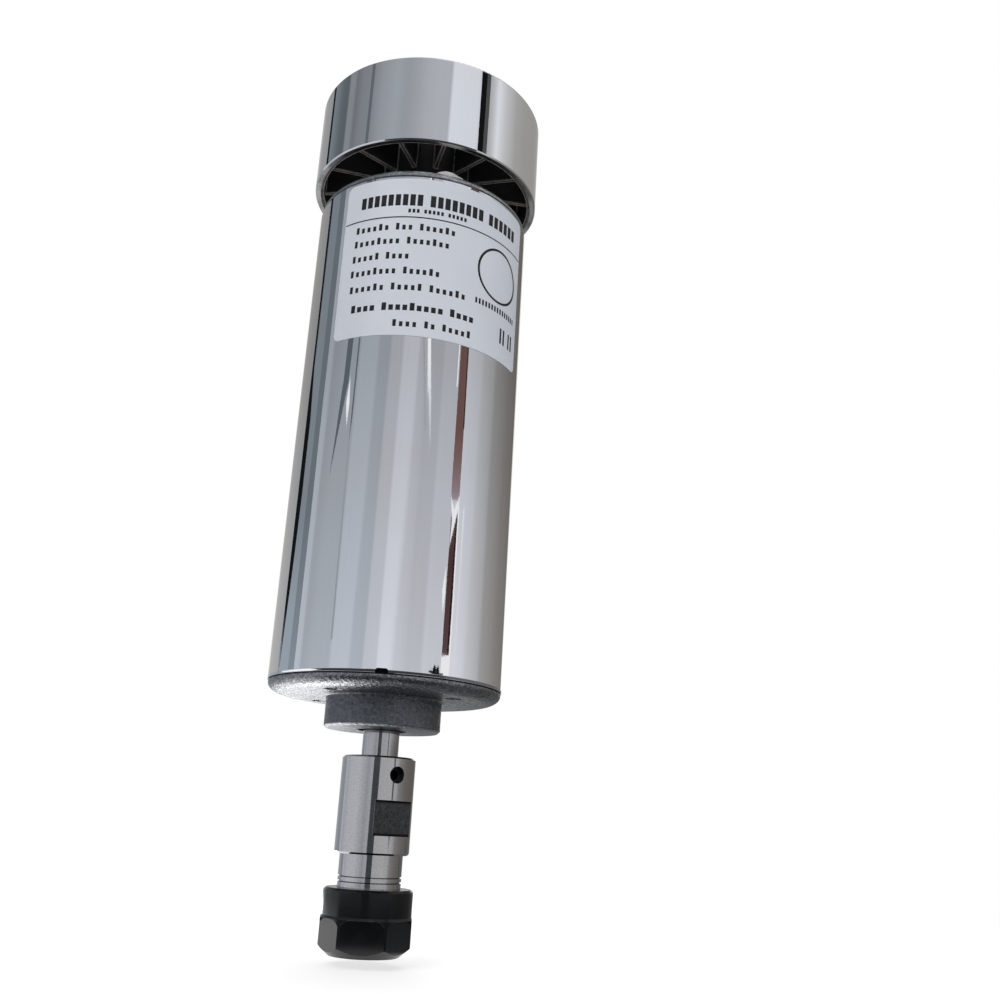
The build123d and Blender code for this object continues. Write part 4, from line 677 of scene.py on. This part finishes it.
def label_print():
    bm = bmesh.new()
    for row, (start, height, words, tall, pitch, share) in enumerate(PRINT_ROWS):
        at = arc(start)
        low = (height - tall / 2) * MM
        capitals = row in CAPITAL_ROWS
        for word in words:
            for stroke in range(word):
                reach = 1.0 if capitals or stroke in TALL_STROKES else LOW_STROKE
                upright_sheet(bm, at, at + pitch * share * MM, low, low + tall * reach * MM, 2)
                at += pitch * MM
            at += pitch * WORD_GAP * MM
    line_west, line_east = arc(LABEL_WEST + RULED_LINE_INSET), arc(LABEL_EAST - RULED_LINE_INSET)
    upright_sheet(bm, line_west, line_east, *RULED_LINE, LABEL_STRIPS)
    inner, outer = ROUND_MARK_RADII
    side = [bm.verts.new((0, 0, inner)), bm.verts.new((0, 0, outer))]
    side.append(bm.edges.new(side))
    bmesh.ops.spin(
        bm, geom=side, cent=(0, 0, 0), axis=(0, 1, 0), angle=math.tau, steps=LABEL_STRIPS, use_merge=True
    )
    mark = [v for v in bm.verts if v.co.z < 2 * outer]
    bmesh.ops.translate(bm, verts=mark, vec=(arc(ROUND_MARK[0]), 0, ROUND_MARK[1] * MM))
    wrap_round(bm, CAN_RADIUS + LABEL_LIFT + LABEL_THICKNESS + INK_LIFT)
    for face in bm.faces:
        face.normal_update()
        middle = face.calc_center_median()
        if face.normal.x * middle.x + face.normal.y * middle.y < 0:
            face.normal_flip()
    return piece("label_print", bm, label_ink(), "stator")


def solder_lump(name, material, bearing, low, high, wide, seed):
    """A lump of solder that has run round a tag and frozen."""
    bm = bmesh.new()
    bmesh.ops.create_icosphere(bm, subdivisions=4, radius=1)
    for v in bm.verts:
        swell = 0.22 * noise.noise(v.co * 1.3 + Vector((seed, 0, 0)))
        v.co *= 1 + swell + 0.03 * noise.noise(v.co * 3.1)
    bmesh.ops.scale(bm, verts=bm.verts, vec=(wide / 2, 1.2 * MM, (high - low) / 2))
    bmesh.ops.translate(bm, verts=bm.verts, vec=(0, -TAG_RADIUS, (low + high) / 2))
    turn = Matrix.Rotation(math.radians(bearing), 3, "Z")
    bmesh.ops.rotate(bm, verts=bm.verts, cent=(0, 0, 0), matrix=turn)
    made = piece(name, bm, material, "stator")
    return made


label_sheet()
label_print()
solder_finish = solder()
solder_lump("solder_front", solder_finish, TAG_BEARING, 116.8 * MM, 120.3 * MM, 7.6 * MM, 3.0)
solder_lump("solder_back", solder_finish, TAG_BEARING + 180, 116.8 * MM, 120.2 * MM, 6.8 * MM, 8.0)


# ---------------------------------------------------------------- studio


def floor_sheet(name, material):
    """A white floor sheet under the spindle's nose, with room for the nut to unscrew."""
    bm = bmesh.new()
    bmesh.ops.create_circle(bm, cap_ends=True, segments=96, radius=FLOOR_RADIUS)
    bmesh.ops.translate(bm, verts=bm.verts, vec=(0, 0, NOSE_END - COLLET_DRAW - FLOOR_CLEARANCE))
    floor = piece(name, bm, material, smooth=False)
    return floor


def white_to_camera(tree):
    """1 for rays from the camera and for those that metal or glass sends on."""
    path = tree.nodes.new("ShaderNodeLightPath")
    either = tree.nodes.new("ShaderNodeMath")
    either.operation = "MAXIMUM"
    tree.links.new(path.outputs["Is Glossy Ray"], either.inputs[0])
    tree.links.new(path.outputs["Is Transmission Ray"], either.inputs[1])
    seen = tree.nodes.new("ShaderNodeMath")
    seen.operation = "MAXIMUM"
    tree.links.new(path.outputs["Is Camera Ray"], seen.inputs[0])
    tree.links.new(either.outputs[0], seen.inputs[1])
    return seen.outputs[0]


def floor_paper():
    f = Finish("floor_paper", (0.55, 0.55, 0.55), 0.0, 0.9)
    f.set("Base Color", f.mix(f.noise(40 * MM, 2.0), (0.54, 0.54, 0.545), (0.56, 0.56, 0.565)))
    f.set("Normal", f.relief(f.noise(0.6 * MM, 2.0), 0.01 * MM))
    f.set("Specular IOR Level", 0.1)
    f.set("Emission Color", (1, 1, 1, 1))
    seen = white_to_camera(f.material.node_tree)
    f.set("Emission Strength", f.maths("MULTIPLY", seen, 0.62))
    return f.material


def card_face(name, colour, strength=1.0):
    """A card that only metal sees."""
    material = bpy.data.materials.new(name)
    material.use_nodes = True
    tree = material.node_tree
    tree.nodes.clear()
    glow = tree.nodes.new("ShaderNodeEmission")
    glow.inputs["Color"].default_value = (*colour, 1)
    glow.inputs["Strength"].default_value = strength
    out = tree.nodes.new("ShaderNodeOutputMaterial")
    tree.links.new(glow.outputs[0], out.inputs["Surface"])
    return material


def cloth_face(name, stops, fade=0.0, fade_from=0.4, folds=0.0, hem=None):
    """Backdrop cloth: greys change round the room, at stops of (degrees, level, tint). It gets darker
    upwards by fade per metre from a height, and hangs in soft upright folds. Its hems are sheer, so
    that it blends into the cloth behind; hem is (lowest, highest, width)."""
    f = Finish(name, (0.0, 0.0, 0.0), 0.0, 1.0)
    f.set("Specular IOR Level", 0.0)
    turn = f.maths("ARCTAN2", f.along("X"), f.maths("MULTIPLY", f.along("Y"), -1.0))
    share = f.maths("MULTIPLY_ADD", turn, 0.5 / math.pi, 0.5)
    colours = [((degrees + 180) / 360, grey(level, tint)) for degrees, level, tint in stops]
    f.set("Emission Color", f.ramp(share, colours))
    round_room = f.maths("MULTIPLY", turn, FOLDS_ROUND)
    hang = f.noise(1.0, 3.0, 0.65, at=f.point(round_room, f.maths("MULTIPLY", f.along("Z"), FOLDS_UP), 0.0))
    light = f.maths("MULTIPLY_ADD", f.along("Z"), -fade, 1.0 + fade * fade_from)
    light = f.maths("MAXIMUM", f.maths("MINIMUM", light, 1.2), 0.8)
    folded = f.maths("MULTIPLY_ADD", hang, folds, 1.0 - folds / 2)
    f.set("Emission Strength", f.maths("MULTIPLY", light, folded))
    if hem:
        f.set("Alpha", f.band(f.along("Z"), *hem))
    return f.material


def height_face(name, stops):
    """A board whose colour changes with height; stops are (metres, colour), lowest first."""
    f = Finish(name, (0.0, 0.0, 0.0), 0.0, 1.0)
    f.set("Specular IOR Level", 0.0)
    low, high = stops[0][0], stops[-1][0]
    share = f.maths("MULTIPLY_ADD", f.along("Z"), 1.0 / (high - low), -low / (high - low))
    colours = [((metres - low) / (high - low), colour) for metres, colour in stops]
    f.set("Emission Color", f.ramp(share, colours))
    f.set("Emission Strength", 1.0)
    return f.material


def seen_by_metal_only(card):
    card.visible_camera = False
    card.visible_diffuse = False
    card.visible_transmission = False
    card.visible_shadow = False


def room_point(degrees, height, distance):
    turn = math.radians(degrees)
    return Vector((distance * math.sin(turn), -distance * math.cos(turn), height))


def standing_card(name, west, east, low, high, material, distance=1.2, lean=0.0):
    """A card curved round the spindle between two angles; lean shifts its top, in degrees."""
    bm = bmesh.new()
    foot = bm.verts.new(room_point(west, low, distance))
    top = bm.verts.new(room_point(west + lean, high, distance))
    side = bm.edges.new((foot, top))
    steps = max(1, round((east - west) / CARD_STEP))
    bmesh.ops.spin(
        bm, geom=[foot, top, side], cent=(0, 0, 0), axis=(0, 0, 1),
        angle=math.radians(east - west), steps=steps,
    )
    seen_by_metal_only(piece(name, bm, material))


def table_card(name, west, east, inner, outer, lift, material):
    """A flat sector of table top just over the floor, between two radii."""
    bm = bmesh.new()
    near = bm.verts.new(room_point(west, NOSE_END + lift, inner))
    far = bm.verts.new(room_point(west, NOSE_END + lift, outer))
    side = bm.edges.new((near, far))
    bmesh.ops.spin(
        bm, geom=[near, far, side], cent=(0, 0, 0), axis=(0, 0, 1),
        angle=math.radians(east - west), steps=round((east - west) / TABLE_STEP),
    )
    seen_by_metal_only(piece(name, bm, material))


def cut_card(name, material, *corners, distance=1.17):
    """A card cut to a few corners, each (degrees, height)."""
    bm = bmesh.new()
    points = [bm.verts.new(room_point(*corner, distance)) for corner in corners]
    bmesh.ops.contextual_create(bm, geom=points)
    seen_by_metal_only(piece(name, bm, material))


def lamp(name, place, size, watts):
    """A soft white lamp aimed at the spindle. Metal mirrors the room, and not the lamps."""
    light = bpy.data.lights.new(name, "AREA")
    light.shape = "RECTANGLE"
    light.size, light.size_y = size
    light.energy = watts
    stand = bpy.data.objects.new(name, light)
    stand.location = place
    stand.rotation_euler = (Vector(LAMP_AIM) - Vector(place)).to_track_quat("-Z", "Y").to_euler()
    stand.visible_glossy = False
    stand.visible_camera = False
    bpy.context.scene.collection.objects.link(stand)


def grey(level, tint=WHITE):
    return shade(tint, level)


COOL = (0.935, 0.99, 1.06)
PALE = (0.97, 0.985, 1.03)
SLATE = (0.87, 1.0, 1.10)
PLAIN = WHITE
WARM = (1.03, 1.0, 0.96)
TAN = (1.08, 1.0, 0.92)

# The cloths' greys follow what the real object's chrome mirrored. They are stops of (degrees from the
# front, level, tint).
MIDDLE_STOPS = (
    (-180, 0.88, WARM), (-170, 0.66, WARM), (-158, 0.42, WARM), (-129, 0.37, PLAIN), (-98.6, 0.51, COOL),
    (-92.5, 0.50, COOL), (-89.5, 0.39, COOL), (-76, 0.43, COOL), (-57, 0.43, COOL), (-55.5, 0.52, COOL),
    (-37, 0.53, COOL), (-35, 0.45, COOL), (-24.5, 0.44, COOL), (-22.5, 0.54, PALE), (-11, 0.55, PALE),
    (-9, 0.68, PALE), (4.5, 0.69, PALE), (7, 0.57, PALE), (14, 0.54, PALE), (17, 0.51, PALE),
    (31, 0.51, PALE), (33.5, 0.58, PALE), (50, 0.57, PALE), (58, 0.70, PALE), (76, 0.62, PALE),
    (81, 0.53, PLAIN), (96, 0.42, PLAIN), (100, 0.33, WARM), (128, 0.21, TAN), (157, 0.155, TAN),
    (161, 0.92, WARM), (180, 0.90, WARM),
)
HIGH_STOPS = (
    (-180, 0.66, WARM), (-158, 0.48, PLAIN), (-150, 0.37, PLAIN), (-132, 0.34, PLAIN),
    (-125, 0.25, SLATE), (-117, 0.21, SLATE), (-110, 0.155, SLATE), (-100.5, 0.135, SLATE),
    (-98.5, 0.29, COOL), (-92, 0.29, COOL), (-89, 0.20, COOL), (-80, 0.26, COOL), (-66, 0.29, COOL),
    (-56, 0.37, COOL), (-40, 0.43, COOL), (-28, 0.39, COOL), (-18, 0.43, PALE), (-8, 0.49, PALE),
    (4, 0.52, PALE), (15.8, 0.52, PALE), (17.4, 0.82, PALE), (45, 0.80, PALE), (58, 0.45, PLAIN),
    (64, 0.60, PLAIN), (70, 0.86, PALE), (76, 0.72, PLAIN), (82, 0.60, PLAIN), (97, 0.42, WARM),
    (112, 0.37, WARM), (140, 0.34, WARM), (152, 0.36, WARM), (180, 0.66, WARM),
)
LOW_STOPS = (
    (-180, 0.42, PLAIN), (-150, 0.48, COOL), (-142, 0.40, COOL), (-121, 0.42, COOL), (-118, 0.64, COOL),
    (-113, 0.66, COOL), (-109, 0.56, COOL), (-92, 0.68, PALE), (-60, 0.70, PALE), (-48, 0.60, PALE),
    (-40, 0.54, PALE), (-31, 0.45, PALE), (-25, 0.52, PALE), (-17, 0.56, PALE), (5, 0.56, PLAIN),
    (44, 0.60, PLAIN), (62, 0.52, PLAIN), (70, 0.32, WARM), (82, 0.25, WARM), (100, 0.19, TAN),
    (130, 0.155, TAN), (150, 0.15, TAN), (165, 0.30, WARM), (180, 0.42, PLAIN),
)
TABLE_STOPS = (
    (-180, 0.44, PLAIN), (-165, 0.48, PLAIN), (-140, 0.42, COOL), (-110, 0.30, COOL), (-75, 0.22, COOL),
    (-60, 0.17, COOL), (60, 0.15, COOL), (120, 0.12, PLAIN), (165, 0.20, PLAIN), (180, 0.44, PLAIN),
)


def walls(low_cloth):
    """Three rings of cloth round the room; the middle one blends into the others at its hems."""
    middle_cloth = cloth_face(
        "wall_middle_cloth", MIDDLE_STOPS, fade=0.85, fade_from=0.385, folds=0.08, hem=(0.085, 0.90, 0.035)
    )
    standing_card("wall_middle", -180, 180, 0.04, 0.94, middle_cloth, distance=1.215)
    high_cloth = cloth_face("wall_high_cloth", HIGH_STOPS, folds=0.05)
    standing_card("wall_high", -180, 180, 0.86, 2.3, high_cloth, distance=1.22)
    standing_card("wall_low", -180, 180, -1.5, 0.125, low_cloth, distance=1.22)


def cards():
    """Boards, cords, folds and a door that stand before the walls and draw dark and bright bands."""
    black_cloth = card_face("black_cloth", grey(0.008))
    dark_board = card_face("dark_board", grey(0.13, SLATE))
    white_board = card_face("white_board", grey(0.97))
    door_brown = height_face("door_brown", (
        (0.395, (0.34, 0.31, 0.34)), (0.41, (0.30, 0.22, 0.23)), (0.45, (0.22, 0.135, 0.135)),
        (0.50, (0.160, 0.088, 0.078)), (0.90, (0.137, 0.083, 0.071)),
    ))
    door_shade = height_face("door_shade", (
        (0.18, (0.105, 0.066, 0.062)), (0.30, (0.070, 0.036, 0.034)), (0.38, (0.110, 0.060, 0.064)),
    ))
    slate_board = height_face("slate_board", (
        (0.12, grey(0.42, SLATE)), (0.24, grey(0.38, SLATE)),
        (0.36, grey(0.27, SLATE)), (0.90, grey(0.235, SLATE)),
    ))
    slate_shade = height_face("slate_shade", (
        (0.12, grey(0.33, SLATE)), (0.24, grey(0.26, SLATE)),
        (0.36, grey(0.19, SLATE)), (0.90, grey(0.165, SLATE)),
    ))

    cut_card(
        "gap_low", black_cloth, (-127.9, CARD_TOP), (-127.9, 0.13), (-125.9, 0.13), (-125.4, 0.225),
        (-120.6, 0.27), (-118.2, 0.38), (-118.6, 0.49), (-123.2, 0.57), (-123.6, CARD_TOP),
        distance=1.16,
    )
    standing_card("slate_panel", -124.5, -98.9, 0.12, CARD_TOP, slate_board, distance=1.205)
    standing_card("slate_fold", -108.0, -98.9, 0.12, CARD_TOP, slate_shade, distance=1.20)
    standing_card("gap_high", -130.2, -125.6, CARD_TOP, 1.4, black_cloth)
    cut_card("beam_tip", dark_board, (-78.3, 0.41), (-66.5, 0.548), (-73.0, 0.548))
    cut_card("beam_top", dark_board, (-72.5, 0.545), (-66.3, 0.545), (-61.2, CARD_TOP), (-69.0, CARD_TOP))
    cut_card("beam_light", white_board, (-63.6, 0.485), (-62.8, 0.52), (-64.6, 0.56), (-66.6, 0.52))
    cut_card(
        "cord_west", dark_board, (-58.9, 0.46), (-57.7, 0.50), (-58.0, CARD_TOP), (-59.8, CARD_TOP),
        (-59.3, 0.50),
    )
    cut_card(
        "fold_west", card_face("fold_west", grey(0.36, COOL)), (-55.9, 0.19), (-57.7, 0.46),
        (-59.2, 0.46), (-57.6, 0.19),
    )
    cut_card(
        "cord_east", dark_board, (25.2, 0.455), (20.9, 0.547), (15.6, 0.64), (5.9, CARD_TOP),
        (3.8, CARD_TOP), (12.9, 0.64), (18.7, 0.547),
    )
    cut_card(
        "cord_east_light", white_board, (24.6, 0.458), (18.7, 0.547), (12.9, 0.64), (3.8, CARD_TOP),
        (2.2, CARD_TOP), (11.2, 0.64), (17.6, 0.547),
    )
    cut_card(
        "cord_thin", card_face("cord_thin", grey(0.34, COOL)), (18.6, 0.49), (9.0, 0.64), (7.8, 0.64),
        (17.8, 0.49),
    )
    standing_card("door", 50.4, 60.0, 0.397, CARD_TOP, door_brown, distance=1.19, lean=-1.2)
    standing_card(
        "door_line", 58.6, 60.2, 0.50, CARD_TOP, card_face("door_line", (0.055, 0.028, 0.026)),
        distance=CARD_DISTANCE, lean=-1.3,
    )
    standing_card("door_foot", 51.8, 59.4, 0.183, 0.378, door_shade, distance=1.19)
    standing_card(
        "door_foot_line", 57.4, 59.4, 0.183, 0.372, card_face("door_foot_line", (0.030, 0.010, 0.010)),
        distance=CARD_DISTANCE,
    )
    standing_card("door_trim", 59.4, 60.9, 0.12, 0.385, white_board, distance=CARD_DISTANCE)
    standing_card(
        "door_glow", 65.3, 67.0, 0.12, 0.385, card_face("door_glow", grey(0.80)),
        distance=CARD_DISTANCE,
    )
    standing_card("door_edge", 47.6, 48.8, 0.56, CARD_TOP, white_board, distance=CARD_DISTANCE, lean=-1.5)
    cut_card(
        "door_wedge", white_board, (50.4, 0.398), (60.0, 0.398), (60.0, 0.384), (54.6, 0.378),
        (53.0, 0.362), (52.0, 0.325),
    )
    cut_card("door_wedge_low", white_board, (47.6, 0.265), (50.2, 0.30), (51.2, 0.262), (49.6, 0.235))
    standing_card("door_step", 51.6, 60.4, 0.150, 0.182, white_board, distance=CARD_DISTANCE)
    standing_card("curtain", 48.2, 54.2, CARD_TOP, HIGH_CARD_TOP, black_cloth)
    standing_card(
        "curtain_edge", 54.2, 58.6, CARD_TOP, HIGH_CARD_TOP, card_face("curtain_edge", grey(0.085)),
    )
    standing_card(
        "post_west", -70.2, -66.6, CARD_TOP, HIGH_CARD_TOP, card_face("post_west", grey(0.16, SLATE)),
    )
    standing_card(
        "dark_coat", -15.5, 4.2, LOW_CARD_FOOT, LOW_CARD_TOP, card_face("dark_coat", grey(0.075, COOL)),
    )
    standing_card("dark_rail", 48.2, 53.0, LOW_CARD_FOOT, LOW_CARD_TOP, card_face("dark_rail", grey(0.10)))
    cut_card(
        "small_shape", black_cloth, (39.0, 0.157), (46.5, 0.151), (55.0, 0.151), (54.5, 0.156),
        (50.5, 0.157), (49.0, 0.167), (47.0, 0.162), (45.0, 0.168), (43.5, 0.160), (41.0, 0.161),
    )


def tables(low_cloth):
    """Sectors of table top just over the floor; a higher lift covers the ones under it."""
    table_top = cloth_face("table_top_cloth", TABLE_STOPS)
    dark_top = card_face("dark_table_top", grey(0.17, COOL))
    table_card("table_west", -160, -75, 130 * MM, 1.15, 0.4 * MM, table_top)
    table_card("table_round", -75, 200, 55 * MM, 1.15, 0.4 * MM, table_top)
    near_top = card_face("table_near", grey(0.05, COOL))
    table_card("table_near", -70, 60, 22 * MM, 190 * MM, 0.6 * MM, near_top)
    table_card("table_front", -120, 120, 190 * MM, 1.16, 0.8 * MM, low_cloth)
    coat = card_face("table_coat", grey(0.075, COOL))
    table_card("table_coat", -15.5, 4.5, 190 * MM, 1.15, 1.2 * MM, coat)
    table_card("table_east", 28, 208, 13 * MM, 56 * MM, 0.5 * MM, dark_top)
    glint = card_face("table_glint", WHITE, 5.0)
    table_card("table_glint", -172, -146, 34 * MM, 150 * MM, 0.7 * MM, glint)


def lamps():
    lamp("key_softbox", (-0.75, -0.95, 0.95), (0.9, 0.9), 9.0)
    lamp("fill_softbox", (1.1, -0.7, 0.25), (0.9, 1.0), 4.0)
    lamp("top_softbox", (0.1, 0.35, 1.35), (0.9, 0.9), 6.0)
    lamp("back_softbox", (-0.2, 1.3, 0.4), (1.0, 0.8), 4.0)


def white_room():
    """A world that is white where the camera or metal sees it, and dimmer as light on the spindle."""
    world = bpy.data.worlds.new("white_room")
    world.use_nodes = True
    bpy.context.scene.world = world
    tree = world.node_tree
    background = tree.nodes["Background"]
    background.inputs["Color"].default_value = (*WHITE, 1)
    strength = tree.nodes.new("ShaderNodeMapRange")
    strength.inputs["To Min"].default_value = ROOM_STRENGTH
    strength.inputs["To Max"].default_value = 1.0
    tree.links.new(white_to_camera(tree), strength.inputs["Value"])
    tree.links.new(strength.outputs[0], background.inputs["Strength"])


def camera():
    """Looks up at the spindle from below the front, a little turned and rolled."""
    data = bpy.data.cameras.new("camera")
    data.lens = CAMERA_LENS
    data.sensor_width = 36
    data.clip_start = 0.01
    made = bpy.data.objects.new("camera", data)
    heading = Matrix.Rotation(math.radians(CAMERA_HEADING), 4, "Z")
    tilt = Matrix.Rotation(math.radians(90 + CAMERA_TILT), 4, "X")
    roll = Matrix.Rotation(math.radians(CAMERA_ROLL), 4, "Z")
    made.matrix_world = Matrix.Translation(CAMERA_PLACE) @ heading @ tilt @ roll
    bpy.context.scene.collection.objects.link(made)
    bpy.context.scene.camera = made


floor_sheet("floor", floor_paper())
room_low_cloth = cloth_face("wall_low_cloth", LOW_STOPS, folds=0.07)
walls(room_low_cloth)
cards()
tables(room_low_cloth)
lamps()
white_room()
camera()
bpy.context.scene.view_settings.view_transform = "Standard"
